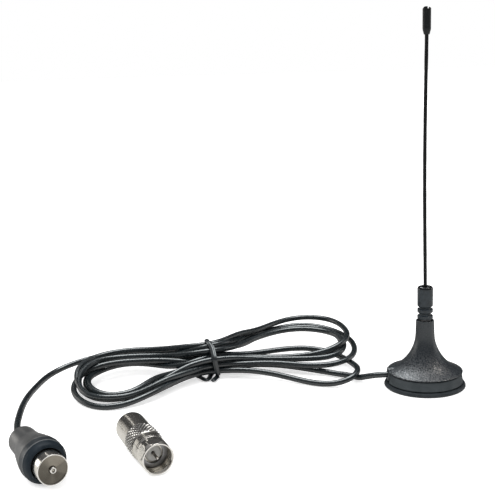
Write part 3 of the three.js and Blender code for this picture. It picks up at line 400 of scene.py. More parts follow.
class Nodes:
    """Short calls for building a node tree. A value may be a number, a colour or a socket."""

    def __init__(self, tree):
        self.tree = tree

    def feed(self, socket, value):
        if isinstance(value, bpy.types.NodeSocket):
            self.tree.links.new(value, socket)
        elif socket.type == "RGBA" and len(value) == 3:
            socket.default_value = (*value, 1)
        else:
            socket.default_value = value

    def fill(self, node, values):
        """Set inputs (with _ for a space) or, where there is no such input, properties."""
        for key, value in values.items():
            label = key.replace("_", " ")
            if label in node.inputs:
                self.feed(node.inputs[label], value)
            else:
                setattr(node, key, value)

    def node(self, kind, *inputs, **values):
        node = self.tree.nodes.new("ShaderNode" + kind)
        self.fill(node, values)
        for socket, value in zip(node.inputs, inputs):
            self.feed(socket, value)
        return node

    def ramp(self, value, *stops):
        """Colour ramp; a stop is (position, grey or colour)."""
        node = self.node("ValToRGB", value)
        elements = node.color_ramp.elements
        while len(elements) < len(stops):
            elements.new(0.5)
        for element, (position, colour) in zip(elements, stops):
            element.position = position
            element.color = (*colour, 1) if isinstance(colour, tuple) else (*[colour] * 3, 1)
        return node.outputs["Color"]


class Material(Nodes):
    """A principled material. Pattern sizes and bump depths are in millimetres."""

    def __init__(self, name):
        self.material = bpy.data.materials.new(name)
        self.material.use_nodes = True
        super().__init__(self.material.node_tree)
        self.shader = next(node for node in self.tree.nodes if node.type == "BSDF_PRINCIPLED")
        self.place = self.node("TexCoord").outputs["Object"]

    def pattern(self, kind, size, stretch=(1, 1, 1), **values):
        mapped = self.node("Mapping", Vector=self.place, Scale=stretch).outputs["Vector"]
        return self.node(kind, Vector=mapped, Scale=1.0 / (size * MM), **values).outputs

    def noise(self, size, detail=3.0, rough=0.55, stretch=(1, 1, 1), distortion=0.0):
        values = {"Detail": detail, "Roughness": rough, "Distortion": distortion}
        return self.pattern("TexNoise", size, stretch, **values)["Fac"]

    def cells(self, size):
        return self.pattern("TexVoronoi", size)["Distance"]

    def axes(self):
        return self.node("SeparateXYZ", self.place).outputs

    def span(self, value, to, source=(0.0, 1.0)):
        """Map the source range onto the range to."""
        ends = {"From_Min": source[0], "From_Max": source[1], "To_Min": to[0], "To_Max": to[1]}
        return self.node("MapRange", Value=value, **ends).outputs["Result"]

    def mix(self, factor, first, second, kind="MIX"):
        node = self.node("Mix", data_type="RGBA", blend_type=kind)
        for i, value in ((0, factor), (6, first), (7, second)):
            self.feed(node.inputs[i], value)
        return node.outputs[2]

    def mottle(self, pattern, dark, light, window):
        """Dark to light colour as the pattern crosses the window."""
        return self.mix(self.span(pattern, (0.0, 1.0), window), dark, light)

    def math(self, operation, first, second=0.0):
        return self.node("Math", first, second, operation=operation).outputs[0]

    def times(self, first, *factors):
        for factor in factors:
            first = self.math("MULTIPLY", first, factor)
        return first

    def plus(self, first, second):
        return self.math("ADD", first, second)

    def set(self, **values):
        self.fill(self.shader, values)

    def soft_edge(self, level):
        """Less mirror towards the silhouette, as on a rough moulded skin."""
        facing = self.node("LayerWeight", Blend=0.5).outputs["Facing"]
        fade = self.ramp(facing, (0.0, 1.0), (0.45, 0.85), (0.8, 0.12), (1.0, 0.0))
        self.set(Specular_IOR_Level=self.times(fade, level))

    def ring_tangent(self):
        tangent = self.node("Tangent", direction_type="RADIAL", axis="Z")
        self.set(Tangent=tangent.outputs["Tangent"])

    def bump(self, *layers):
        """Stacked bumps, each (height, depth)."""
        chain = {}
        for height, depth in layers:
            node = self.node("Bump", Strength=1.0, Distance=depth * MM, Height=height, **chain)
            chain = {"Normal": node.outputs["Normal"]}
        self.set(**chain)


LATHE = (0.02, 0.02, 1)  # stretches noise into rings round Z


def abs_plastic():
    """Spark-eroded black ABS: a leathery grain that fades with height."""
    net = Material("abs_plastic")
    grain = net.noise(size=0.52, rough=0.6)
    pits = net.cells(size=0.6)
    broad = net.noise(size=5.0, rough=0.5)
    height = net.span(net.axes()[2], to=(0.0, 1.0), source=(5 * MM, 19 * MM))
    flare = net.ramp(height, (0.0, 1.0), (0.35, 0.85), (0.7, 0.3), (1.0, 0.12))
    coarse = net.ramp(grain, (0.34, (0.004, 0.007, 0.010)), (0.66, (0.022, 0.030, 0.037)))
    colour = net.mix(flare, (0.012, 0.0175, 0.0225), coarse)
    patches = net.span(broad, to=(0.0, 0.35), source=(0.35, 0.7))
    colour = net.mix(patches, colour, (0.012, 0.0175, 0.023))
    dust = net.ramp(net.noise(size=0.3, detail=2, rough=0.5), (0.66, 0.0), (0.74, 1.0))
    colour = net.mix(net.times(dust, 0.12, flare), colour, (0.35, 0.36, 0.37))
    net.set(Base_Color=colour, Roughness=net.span(grain, to=(0.36, 0.48)))
    plain_level = 0.85  # mirror where there is no grain
    sparkle = net.span(grain, to=(0.15, 2.0), source=(0.36, 0.66))
    sparkle = net.times(net.math("SUBTRACT", sparkle, plain_level), flare)
    net.soft_edge(net.plus(sparkle, plain_level))
    net.bump((net.times(grain, flare), 0.10), (net.times(pits, flare), 0.035))
    return net.material


def soft_rubber(name, dark, light, rough, grain, depth, level):
    """Moulded rubber: dull, faintly mottled, with specks of dust."""
    net = Material(name)
    fine = net.noise(size=grain, detail=4, rough=0.6)
    broad = net.noise(size=3.5, detail=4)
    colour = net.mottle(broad, dark, light, window=(0.35, 0.68))
    speck = net.ramp(net.cells(size=0.9), (0.03, 1.0), (0.07, 0.0))
    colour = net.mix(net.times(speck, 0.12), colour, (0.3, 0.3, 0.29))
    net.set(Base_Color=colour, Roughness=net.span(fine, to=rough))
    net.soft_edge(level)
    net.bump((fine, depth), (broad, 0.05))
    return net.material


def pvc(name, dark, light, rough):
    """Extruded PVC: smooth skin with slow changes of tone and faint scuffs."""
    net = Material(name)
    slow = net.noise(size=9.0, detail=2, rough=0.5)
    skin = net.noise(size=0.8)
    fine = net.noise(size=0.12, detail=2, rough=0.5)
    scuff = net.noise(size=1.6, detail=5, rough=0.7, distortion=1.5)
    scuff = net.ramp(scuff, (0.62, 0.0), (0.74, 1.0))
    colour = net.mottle(slow, dark, light, window=(0.35, 0.65))
    colour = net.mix(net.times(scuff, 0.18), colour, (0.11, 0.115, 0.12))
    roughness = net.plus(net.span(skin, to=rough), net.times(scuff, 0.12))
    net.set(Base_Color=colour, Roughness=roughness)
    net.soft_edge(1.0)
    net.bump((skin, 0.006), (fine, 0.002))
    return net.material


def black_metal(name, colour, rough, line_size, depth, level):
    """Black-finished turned metal with faint lathe lines round the axis."""
    net = Material(name)
    lines = net.noise(size=line_size, detail=2, rough=0.6, stretch=LATHE)
    blot = net.noise(size=1.4, rough=0.5)
    light = tuple(channel * 1.7 for channel in colour)
    colour = net.mottle(blot, colour, light, window=(0.35, 0.65))
    net.set(Base_Color=colour, Roughness=net.span(blot, to=rough))
    net.soft_edge(level)
    net.bump((lines, depth))
    return net.material


def knurl_masks(net):
    """Masks of the knurl's crests and of the valleys between its diamonds, for a painted highlight
    on the crests and painted shade in the valleys.
    """
    x, y, z = net.axes()
    turn = net.times(net.math("ARCTAN2", y, x), KNURL_TEETH / (2 * math.pi))
    rise = net.math("DIVIDE", net.math("SUBTRACT", z, KNURL_START * MM), KNURL_PITCH * MM)
    ridges = []
    for slant in ("ADD", "SUBTRACT"):
        wave = net.math("FRACT", net.plus(net.math(slant, turn, rise), 100.0))
        wave = net.math("ABSOLUTE", net.math("SUBTRACT", net.times(wave, 2.0), 1.0))
        ridges.append(net.math("SUBTRACT", 1.0, wave))
    low = net.ramp(net.math("MINIMUM", *ridges), (0.0, 1.0), (0.2, 0.85), (0.34, 0.0))
    crest = net.ramp(net.math("MINIMUM", *ridges), (0.34, 0.0), (0.6, 1.0))
    above = net.math("GREATER_THAN", z, KNURL_START * MM)
    inside = net.times(above, net.math("LESS_THAN", z, KNURL_END * MM))
    return net.times(crest, inside), net.times(low, inside)


def plated(name, colour, rough, tarnish=0.35, lines=None, knurled=False):
    """Nickel plate with small scratches and tarnish. lines=(size, depth) adds lathe lines; knurled
    adds a painted highlight on the knurl's crests and painted shade in its valleys.
    """
    net = Material(name)
    blot = net.noise(size=2.2, detail=5, rough=0.6, distortion=0.8)
    fine = net.noise(size=0.25, rough=0.6)
    stain = net.times(net.ramp(blot, (0.45, 0.0), (0.75, 1.0)), tarnish)
    colour = net.mix(stain, colour, (0.42, 0.38, 0.31))
    scratch = net.noise(size=0.5, detail=6, rough=0.75, stretch=(1, 1, 0.12), distortion=2.0)
    scratch = net.ramp(scratch, (0.60, 0.0), (0.66, 1.0))
    roughness = net.plus(net.span(blot, to=rough), net.times(scratch, 0.12))
    if knurled:
        crest, shaded_valleys = knurl_masks(net)
        # Painted highlight on the knurl's crests, then painted shade in the valleys between them.
        colour = net.mix(crest, colour, (0.97, 0.96, 0.93))
        colour = net.mix(net.times(shaded_valleys, 0.95), colour, (0.045, 0.042, 0.04))
        roughness = net.plus(roughness, net.times(shaded_valleys, 0.25))
    net.set(Base_Color=colour, Roughness=roughness, Metallic=1.0)
    layers = [(fine, 0.0025), (scratch, 0.002)]
    if lines:
        size, depth = lines
        layers.append((net.noise(size=size, detail=2, rough=0.6, stretch=LATHE), depth))
    net.bump(*layers)
    return net.material


# Painted bow-tie reflection: brightness of the faced disc round its axis, (part of a turn, grey).
PAINTED_BOW_TIE = (
    (0.0, 0.62), (0.07, 0.60), (0.10, 0.40), (0.19, 0.34), (0.26, 0.46), (0.36, 0.36), (0.46, 0.44),
    (0.6, 0.46), (0.645, 0.6), (0.70, 0.84), (0.86, 0.92), (0.915, 0.86), (0.94, 0.6), (1.0, 0.62),
)


def faced_disc():
    """A disc faced on the lathe: fine rings round the middle, which throw a bow-tie of light, with a
    bow-tie reflection also painted into its colour.
    """
    net = Material("faced_disc")
    x, y, _ = net.axes()
    radius = net.math("SQRT", net.plus(net.times(x, x), net.times(y, y)))
    rings = net.node(
        "TexNoise", noise_dimensions="1D", Scale=1.0, Detail=3.0, Roughness=0.7,
        W=net.times(radius, 1 / (0.09 * MM)),
    ).outputs["Fac"]
    blot = net.noise(size=1.6, detail=4, rough=0.6)
    # The painted bow-tie is measured from the world's up, seen in the plug's frame.
    world_up = PLUG.to_3x3().transposed() @ Vector((0, 0, 1))
    side = world_up.cross(Vector((0, 0, 1)))
    upward, sideways = (
        net.plus(net.times(x, axis.x), net.times(y, axis.y)) for axis in (world_up, side)
    )
    turn = net.math("ARCTAN2", upward, sideways)
    bow_tie_shading = net.ramp(net.span(turn, to=(0.0, 1.0), source=(-math.pi, math.pi)), *PAINTED_BOW_TIE)
    colour = net.mottle(blot, (0.34, 0.317, 0.266), (0.306, 0.276, 0.232), window=(0.3, 0.7))
    colour = net.mix(1.0, colour, bow_tie_shading, kind="MULTIPLY")
    roughness = net.span(rings, to=(0.2, 0.4))
    net.set(Base_Color=colour, Roughness=roughness, Metallic=1.0, Anisotropic=0.75)
    net.ring_tangent()
    net.bump((rings, 0.006), (net.noise(size=0.3, rough=0.6), 0.003))
    return net.material


def plain_metal(name, colour):
    net = Material(name)
    blot = net.noise(size=1.8, detail=4, rough=0.6)
    fine = net.noise(size=0.2, rough=0.6)
    shade = tuple(0.7 * channel for channel in colour)
    colour = net.mottle(blot, colour, shade, window=(0.3, 0.7))
    net.set(Base_Color=colour, Roughness=net.span(blot, to=(0.25, 0.45)), Metallic=1.0)
    net.bump((fine, 0.004))
    return net.material


def plain_dull(name, colour):
    net = Material(name)
    blot = net.noise(size=2.0, detail=4, rough=0.6)
    fine = net.noise(size=0.25, rough=0.6)
    shade = tuple(0.82 * channel for channel in colour)
    colour = net.mottle(blot, colour, shade, window=(0.3, 0.7))
    roughness = net.span(fine, to=(0.45, 0.65))
    net.set(Base_Color=colour, Roughness=roughness, Specular_IOR_Level=0.45)
    net.bump((fine, 0.008))
    return net.material


ABS = abs_plastic()
# The ridge rubber is lighter than its neighbours: a painted highlight along the plug's ridge line.
# Name, dark, light, roughness range, grain size, grain depth, mirror level.
BAND, FOOT, GRIP, COLLAR, RIDGE_HIGHLIGHT, RIM = (soft_rubber(*row) for row in (
    ("band_rubber", (0.032, 0.041, 0.046), (0.05, 0.06, 0.066), (0.5, 0.66), 0.3, 0.012, 0.5),
    ("foot_rubber", (0.015, 0.020, 0.024), (0.03, 0.037, 0.042), (0.42, 0.6), 0.25, 0.02, 0.5),
    ("grip_rubber", (0.060, 0.062, 0.063), (0.088, 0.088, 0.086), (0.26, 0.4), 0.35, 0.008, 0.7),
    ("collar_rubber", (0.008, 0.015, 0.022), (0.017, 0.025, 0.033), (0.36, 0.48), 0.35, 0.008, 0.26),
    ("ridge_highlight_rubber", (0.085, 0.092, 0.097), (0.12, 0.126, 0.128), (0.3, 0.42), 0.35, 0.008, 0.8),
    ("rim_rubber", (0.022, 0.028, 0.033), (0.036, 0.042, 0.047), (0.32, 0.44), 0.35, 0.008, 0.5),
))
# Name, dark, light, roughness range.
JACKET, TIE = (pvc(*row) for row in (
    ("lead_pvc", (0.004, 0.0078, 0.0095), (0.009, 0.0145, 0.0175), (0.24, 0.32)),
    ("tie_pvc", (0.008, 0.012, 0.0145), (0.016, 0.021, 0.024), (0.25, 0.38)),
))
# Name, colour, roughness range, lathe line size, line depth, mirror level.
FERRULE, FERRULE_BRIGHT, ROD, TIP = (black_metal(*row) for row in (
    ("ferrule_black", (0.015, 0.0205, 0.025), (0.3, 0.42), 0.1, 0.004, 0.5),
    ("ferrule_chamfer", (0.006, 0.007, 0.008), (0.08, 0.14), 0.08, 0.002, 0.6),
    ("rod_black", (0.0022, 0.0026, 0.003), (0.36, 0.5), 0.4, 0.01, 0.25),
    ("tip_black", (0.0025, 0.0035, 0.004), (0.34, 0.46), 0.15, 0.01, 0.35),
))
NICKEL = plated("nickel_plate", colour=(0.80, 0.775, 0.72), rough=(0.1, 0.2), lines=(0.07, 0.0015))
NICKEL_BODY = plated(
    "nickel_body", colour=(0.70, 0.675, 0.62), rough=(0.16, 0.26), lines=(0.09, 0.002), knurled=True
)
NICKEL_PIN = plated("nickel_pin", colour=(0.86, 0.84, 0.8), rough=(0.08, 0.14), tarnish=0.1)
FACE = faced_disc()
BRASS = plain_metal("brass", colour=(0.62, 0.47, 0.22))
COPPER = plain_metal("copper", colour=(0.62, 0.3, 0.17))
STEEL = plain_metal("steel", colour=(0.45, 0.45, 0.46))
FERRITE = plain_dull("ferrite", colour=(0.05, 0.05, 0.055))
DIELECTRIC = plain_dull("dielectric", colour=(0.86, 0.85, 0.82))
# A dark copy of the pin's nickel for the adapter pin's shank: painted shade.
SHADED_PIN_SHANK = plated("pin_shank_shade", colour=(0.26, 0.245, 0.22), rough=(0.22, 0.34), tarnish=0.2)
CORE = plain_dull("core_insulation", colour=(0.7, 0.69, 0.66))

# ---------------------------------------------------------------- base
# Outlines are (radius, z) or, where rounded, (radius, z[, corner size]).

shell_flare = spline([
    (13.55, 6.16), (13.0, 6.42), (12.1, 6.80), (11.17, 7.24), (9.8, 8.06), (8.6, 9.0), (7.62, 10),
    (6.78, 11), (6.06, 12), (5.47, 13), (4.96, 14), (4.51, 15), (4.15, 16), (3.87, 17), (3.68, 18),
    (3.56, 19), (3.49, 20), (3.42, 22), (3.36, 24), (3.33, 24.98),
], spacing=0.3)
shell_rim = [(13.3, 5.64), (13.7, 5.66), (13.84, 5.78), (13.86, 5.95), (13.76, 6.06)]
shell_neck = [(3.3, 25.1), (3.22, 25.17), (2.7, 25.18), (2.6, 25.1)]
shell_inside = [
    (2.6, 15.8), (3.25, 15.2), (3.25, 14.4), (4.6, 12.2), (5.6, 10.9), (7.0, 9.1), (8.4, 7.7),
    (10.2, 6.4), (12.2, 5.64),
]
shell_outline = [*shell_rim, *shell_flare, *shell_neck, *shell_inside]
shell = piece("base_shell_skin", turned(shell_outline, 160), [ABS])


def towards_lead(height):
    """A frame on the base's axis at this height, with its +Z along -X."""
    return Matrix.Translation((0, 0, height * MM)) @ Matrix.Rotation(-math.pi / 2, 4, "Y")


# The lead's outlet: a short hood with a rounded mouth, flat underneath, and a stepped bore.
hood_outline = rounded([(0, 9.3), (2.8, 9.3, 0), (2.8, 13.85, 0.45), (2.1, 13.95, 0.2), (0, 13.95)])
hood = piece("hood", turned(hood_outline, 64), [ABS], matrix=towards_lead(4.4))
HOOD_UNDERSIDE = 1.97
under_verts = np.array(
    [(x, y, z) for x in (-20, -4) for y in (-6, 6) for z in (-4, HOOD_UNDERSIDE)], float
)
under_faces = [(0, 1, 3, 2), (4, 6, 7, 5), (0, 4, 5, 1), (2, 3, 7, 6), (0, 2, 6, 4), (1, 5, 7, 3)]
boolean(hood, piece("under", (under_verts, under_faces), [ABS]), "DIFFERENCE")
core_outline = [(0, -1), (9.9, -1), (9.9, 5.62), (0, 5.62)]
boolean(hood, piece("core_cut", turned(core_outline, 96), [ABS]), "DIFFERENCE")
boolean(shell, hood, "UNION")
bore_outline = [
    (0, 8), (2.05, 8), (2.05, 12.1), (1.42, 12.3), (1.42, 13.6), (1.75, 14.3), (0, 14.3),
]
bore = piece("bore", turned(bore_outline, 48), [ABS], matrix=towards_lead(4.3))
boolean(shell, bore, "DIFFERENCE")
smooth(shell.data, 34)
show(shell, "base", "base_shell")

# The band is open where the hood passes, on the -X side.
BAND_GAP_HALF_WIDTH, BAND_GAP_RADIUS = 3.12, 13.8
band_outline = rounded([
    (12.2, 1.92), (13.98, 1.92, 0.1), (14.1, 2.25, 0.15), (13.86, 2.7, 0.25), (13.74, 3.6, 0.4),
    (13.6, 4.8, 0.3), (13.42, 5.26, 0.12), (12.2, 5.26),
])
band_end = math.pi - math.asin(BAND_GAP_HALF_WIDTH / BAND_GAP_RADIUS)
band = piece("base_band_skin", turned(band_outline, 180, arc=(-band_end, band_end)), [BAND])
show(band, "base", "base_band")

foot_outline = rounded([
    (0, 0.0), (14.55, 0.0, 0.15), (14.96, 0.32, 0.25), (14.97, 0.8, 0.3), (14.68, 1.3, 0.3),
    (14.35, 1.6, 0.15), (13.6, 1.62, 0.1), (13.2, 1.5, 0.2), (0, 1.5),
])
foot = piece("foot_pad_skin", turned(foot_outline, 180), [FOOT], 50)
show(foot, "base", "foot_pad")

# ---------------------------------------------------------------- whip

ferrule_outline = rounded([
    (1.55, 25.7), (2.66, 25.7, 0.1), (2.85, 25.95, 0.08), (2.86, 26.95, 0.08), (2.72, 27.08, 0.06),
    (2.15, 27.22, 0.12), (2.13, 27.75, 0.15), (2.82, 28.25, 0.1), (2.86, 29.34, 0.08),
    (2.72, 29.5, 0.06), (2.12, 29.62, 0.12), (2.1, 30.05, 0.15), (2.84, 30.6, 0.12),
    (2.87, 37.2, 0.2), (2.6, 37.72, 0.15), (2.3, 37.9, 0.12), (1.85, 37.88, 0.1),
    (1.62, 37.2, 0.15), (0.92, 37.1, 0.08), (0.92, 31.0), (1.55, 30.7),
], steps=5)
FERRULE_CHAMFER_Z = 37.05
ferrule = piece(
    "whip_ferrule_skin", turned(ferrule_outline, 112), [FERRULE, FERRULE_BRIGHT], 50,
    pick=lambda z: int(z > FERRULE_CHAMFER_Z),
)
show(ferrule, "whip", "whip_ferrule")

ROD_RADIUS, ROD_BOTTOM, ROD_TOP = 0.655, 31.0, 131.4
ROD_BOW, BOW_START, BOW_LENGTH = 0.42, 38, 90  # a very slight bow towards -X
rod_z = np.linspace(ROD_BOTTOM, ROD_TOP, 160)
rod_radii = ROD_RADIUS + 0.012 * np.sin(rod_z * 0.9) + 0.01 * np.sin(rod_z * 0.37 + 1.0)
rod_verts, rod_faces = turned([(0, ROD_BOTTOM), *zip(rod_radii, rod_z), (0, ROD_TOP)], 28)
along_bow = np.clip((rod_verts[:, 2] - BOW_START) / BOW_LENGTH, 0, 1)
rod_verts[:, 0] -= ROD_BOW * np.sin(math.pi * along_bow) ** 1.2
rod = piece("whip_rod_skin", (rod_verts, rod_faces), [ROD], 60)
show(rod, "whip", "whip_rod")

TIP_RADIUS, TIP_TOP, CROWN_START = 1.47, 137.5, 136.2
SAW_CUT_X, SAW_CUT_HALF_WIDTH, SAW_CUT_DEPTH = 0.48, 0.24, 0.8


def crown(angle, radius, z):
    """The cap's open end: a narrow saw cut off centre, and corners worn lower at two sides."""
    if z < CROWN_START or radius < 0.5:
        return radius, z
    x = radius * (0.988 * math.cos(angle) - 0.153 * math.sin(angle))  # across the saw cut
    top = TIP_TOP
    if x < -0.5:
        top -= 0.75 * ((-x - 0.5) / 0.97) ** 1.6
    elif x > 0.62:
        top -= 0.28 + 0.35 * max(0.0, (x - 1.0) / 0.47)
    off = abs(x - SAW_CUT_X)
    if off < SAW_CUT_HALF_WIDTH:
        top = min(top, TIP_TOP - SAW_CUT_DEPTH * (1 - (off / SAW_CUT_HALF_WIDTH) ** 4))
    return radius, min(z, top)


tip_shoulder = [(1.03, 128.1, 0), (1.42, 129.62, 0.2), (1.46, 129.95, 0.1)]
tip_outline = [
    (0.66, 127.95), (0.95, 127.96), (1.03, 128.1),
    *rounded([*tip_shoulder, (TIP_RADIUS, CROWN_START, 0)])[1:],
    *[(TIP_RADIUS, z) for z in np.linspace(136.3, 137.05, 9)],
    (1.45, 137.2), (1.38, 137.36), (1.25, 137.46), (1.1, 137.48), (0.95, 137.42), (0.86, 137.28),
    (0.84, 137.05), (0.84, 136.6), (0.8, 136.2), (0.3, 136.05), (0, 136.0),
    (0, 131.9), (0.92, 131.8), (0.92, 128.3), (0.75, 128.1),
]
tip = piece("tip_cap_skin", turned(tip_outline, 180, shape=crown), [TIP], 45)
show(tip, "whip", "tip_cap")

# ---------------------------------------------------------------- lead and tie

LEAD_RADIUS, LEAD_SIDES = 1.1, 20
lead_path = spline(LEAD, spacing=1.0)
step = np.arange(len(lead_path))
lead_scale = 1 + 0.006 * np.sin(step * 0.21) + 0.005 * np.sin(step * 0.053 + 2)
lead_angles = [2 * math.pi * k / LEAD_SIDES for k in range(LEAD_SIDES)]
lead_section = [(LEAD_RADIUS * math.cos(turn), LEAD_RADIUS * math.sin(turn)) for turn in lead_angles]
lead = piece("lead_skin", swept(lead_path, lead_section, scale=lead_scale), [JACKET], 60)
show(lead, "base", "lead_jacket")

# The tie: a flat strip with the wire's bead down its middle.
TIE_SIDES, TIE_HALF_WIDTH = 32, 0.98
STRIP_HALF_THICKNESS, BEAD_HEIGHT, BEAD_WIDTH = 0.3, 0.26, 0.4
tie_section = []
for k in range(TIE_SIDES):
    turn = 2 * math.pi * k / TIE_SIDES
    y = TIE_HALF_WIDTH * math.cos(turn)
    thickness = STRIP_HALF_THICKNESS + BEAD_HEIGHT * math.exp(-((y / BEAD_WIDTH) ** 2))
    tie_section.append((thickness * math.copysign(abs(math.sin(turn)) ** 0.5, math.sin(turn)), y))


def distances(points):
    """Distance of each point along the line through them."""
    return np.concatenate([[0], np.cumsum(np.linalg.norm(np.diff(points, axis=0), axis=1))])


tie_path = spline(TIE_PATH[:, :3], spacing=0.45)
measured, sampled = distances(TIE_PATH[:, :3]), distances(tie_path)
sampled *= measured[-1] / sampled[-1]
normal_y, normal_z = (np.interp(sampled, measured, TIE_PATH[:, k]) for k in (3, 4))
tie_normals = np.stack([np.zeros(len(sampled)), normal_y, normal_z], 1)
tie = piece("twist_tie_skin", swept(tie_path, tie_section, normals=tie_normals, cap=3), [TIE], 60)
show(tie, "base", "twist_tie")

# ---------------------------------------------------------------- plug

collar = spline([
    (5.12, 4.62), (5.5, 4.72), (5.95, 5.05), (6.34, 5.75), (6.55, 6.45), (6.66, 6.95),
], spacing=0.2)
ridge = [
    (6.72, 7.02), (6.82, 7.08), (6.87, 7.2), (6.87, 7.38), (6.84, 7.55), (6.86, 8.2), (6.92, 8.9),
    (6.97, 9.4), (6.98, 9.5), (6.93, 9.56), (6.92, 9.66), (6.98, 9.74), (6.98, 9.9), (6.94, 10.2),
]
grip = spline([
    (6.9, 10.5), (6.78, 11.5), (6.6, 12.6), (6.36, 13.8), (6.11, 15), (5.85, 16.2), (5.59, 17.4),
    (5.32, 18.6), (5.07, 19.8), (4.92, 21), (4.82, 22.2), (4.75, 23.4), (4.69, 24.6), (4.64, 25.8),
    (4.6, 26.8), (4.5, 27.4), (4.28, 27.78), (3.9, 27.93), (2.4, 27.95), (1.75, 27.9), (1.5, 27.6),
], spacing=0.25)
overmould_inside = [
    (1.45, 20.3), (3.1, 20.1), (3.1, 15.8), (5.0, 15.4), (5.06, 15.0), (5.06, 4.75),
]
PARTING_ANGLE, PARTING_HEIGHT = 0.42, 0.035


def moulded(angle, radius, z):
    """A parting line on both sides and slight flats on the grip."""
    if z < 10.25 or radius < 3.3:
        return radius, z
    flat = 0.10 * math.exp(-(((z - 17.5) / 4.0) ** 2)) * math.cos(2 * angle)
    on_line = abs(math.sin(angle - PARTING_ANGLE)) < 0.02
    return radius + flat + (PARTING_HEIGHT if on_line else 0.0), z


# The band from z 7.0 to 7.36 takes the lighter ridge rubber, a painted highlight along the ridge.
overmould = piece(
    "plug_overmould_skin",
    turned([*collar, *ridge, *grip, *overmould_inside], 160, shape=moulded),
    [GRIP, COLLAR, RIDGE_HIGHLIGHT, RIM], matrix=PLUG,
    pick=lambda z: 1 if z < 7.0 else 2 if z < 7.36 else 3 if z < 9.6 else 0,
)
show(overmould, "base", "plug_overmould")

SLEEVE_RADIUS = 4.7625
sleeve_outline = rounded([
    (4.42, 0.2), (4.44, 0.0, 0.03), (4.71, 0.0, 0.03), (SLEEVE_RADIUS, 0.08, 0.04),
    (SLEEVE_RADIUS, 15.0), (1.7, 15.0), (1.7, 14.4), (4.38, 14.4), (4.4, 1.0),
], size=0.05)
# The lip (z under 0.1) takes the lighter pin nickel: a painted highlight along the sleeve's rim.
sleeve = piece(
    "plug_sleeve_skin", turned(sleeve_outline, 144), [NICKEL, NICKEL_PIN], 50, PLUG,
    pick=lambda z: int(z < 0.1),
)
show(sleeve, "base", "plug_sleeve")

# The face: faint turned rings from the rim in to the hole.
FACE_RADIUS, FACE_HOLE, FACE_STEPS, RING_DEPTH = 4.38, 1.2, 26, 0.012
face_outline = [
    (FACE_RADIUS - k * (FACE_RADIUS - FACE_HOLE) / FACE_STEPS, 0.3 + RING_DEPTH * (k % 2))
    for k in range(FACE_STEPS + 1)
]
face_outline += [(1.14, 0.34), (1.12, 1.6), (4.3, 1.6), (4.36, 0.9)]
face = piece("plug_face_skin", turned(face_outline, 144), [FACE], 60, PLUG)
show(face, "base", "plug_face")

pin_outline = rounded([
    (0.5, -0.42, 0.08), (0.86, -0.5, 0.1), (1.06, -0.2, 0.12), (1.05, 13.1, 0.05), (0, 13.1),
    (0, 1.1), (0.42, 1.05, 0.1),
], size=0.05)
pin = piece("plug_pin_skin", turned(pin_outline, 64), [NICKEL_PIN], 50, PLUG)
show(pin, "base", "plug_pin")

# ---------------------------------------------------------------- adapter

KNURL_ROOT, KNURL_HEIGHT, KNURL_FADE = 5.1, 0.32, 0.35


def knurl(angle, radius, z):
    """Crossed ridges that fade out at both ends of the knurled length."""
    if not (KNURL_START <= z <= KNURL_END) or radius < 5.0:
        return radius, z
    edge = min(1.0, (z - KNURL_START) / KNURL_FADE, (KNURL_END - z) / KNURL_FADE)
    turn = KNURL_TEETH * angle / (2 * math.pi)
    rise = (z - KNURL_START) / KNURL_PITCH
    low = min(1 - abs((wave % 1.0) * 2 - 1) for wave in (turn + rise, turn - rise))
    return KNURL_ROOT + KNURL_HEIGHT * min(1.0, low * 1.15) * edge, z


body_outline = [
    *rounded([
        (2.6, 5.3, 0), (3.3, 5.3, 0.08), (3.45, 5.45, 0.05), (3.45, 7.35, 0.05), (4.72, 7.4, 0.1),
        (4.88, 7.55, 0.08), (4.88, 10.35, 0.1), (5.05, 10.55, 0),
    ]),
    *[(5.22, z) for z in np.linspace(KNURL_START, KNURL_END, 72)],
    *rounded([
        (5.16, 17.85, 0), (5.12, 18.05, 0.1), (5.1, 24), (5.06, 28.75, 0.08), (4.97, 29.0, 0.05),
        (4.84, 29.0, 0.04), (4.78, 28.8, 0.05), (4.8, 18.9), (3.2, 18.9), (3.2, 15.6),
        (2.6, 15.6, 0),
    ], size=0.06),
]
body_solid = turned(body_outline, KNURL_TEETH * 12, shape=knurl)
body = piece("adapter_body_skin", body_solid, [NICKEL_BODY], 55, ADAPTER)
show(body, "adapter", "adapter_body")

HEX_CORNER = math.radians(-100)
HEX_FLAT = 4.95  # axis to the middle of a flat
HEX_BLEND = 0.05  # softness of the edges between the flats and the turned surface
HEX_RADIUS, HEX_RISE = 5.36, 0.36  # turned radius over the corners, and its fall at both ends


def hexed(angle, radius, z):
    """Cut the nut's turned outside with six softly blended flats."""
    if radius < 4.84 or not (0.3 < z < 4.25):
        return radius, z
    flat = HEX_FLAT / math.cos((angle - HEX_CORNER) % (math.pi / 3) - math.pi / 6)
    if radius <= flat - 0.5:
        return radius, z
    total = math.exp(-flat / HEX_BLEND) + math.exp(-radius / HEX_BLEND)
    return -HEX_BLEND * math.log(total), z


def quarter(z, start, length):
    """Angle from 0 to a quarter turn as z runs over the length."""
    return min(1.0, (z - start) / length) * math.pi / 2


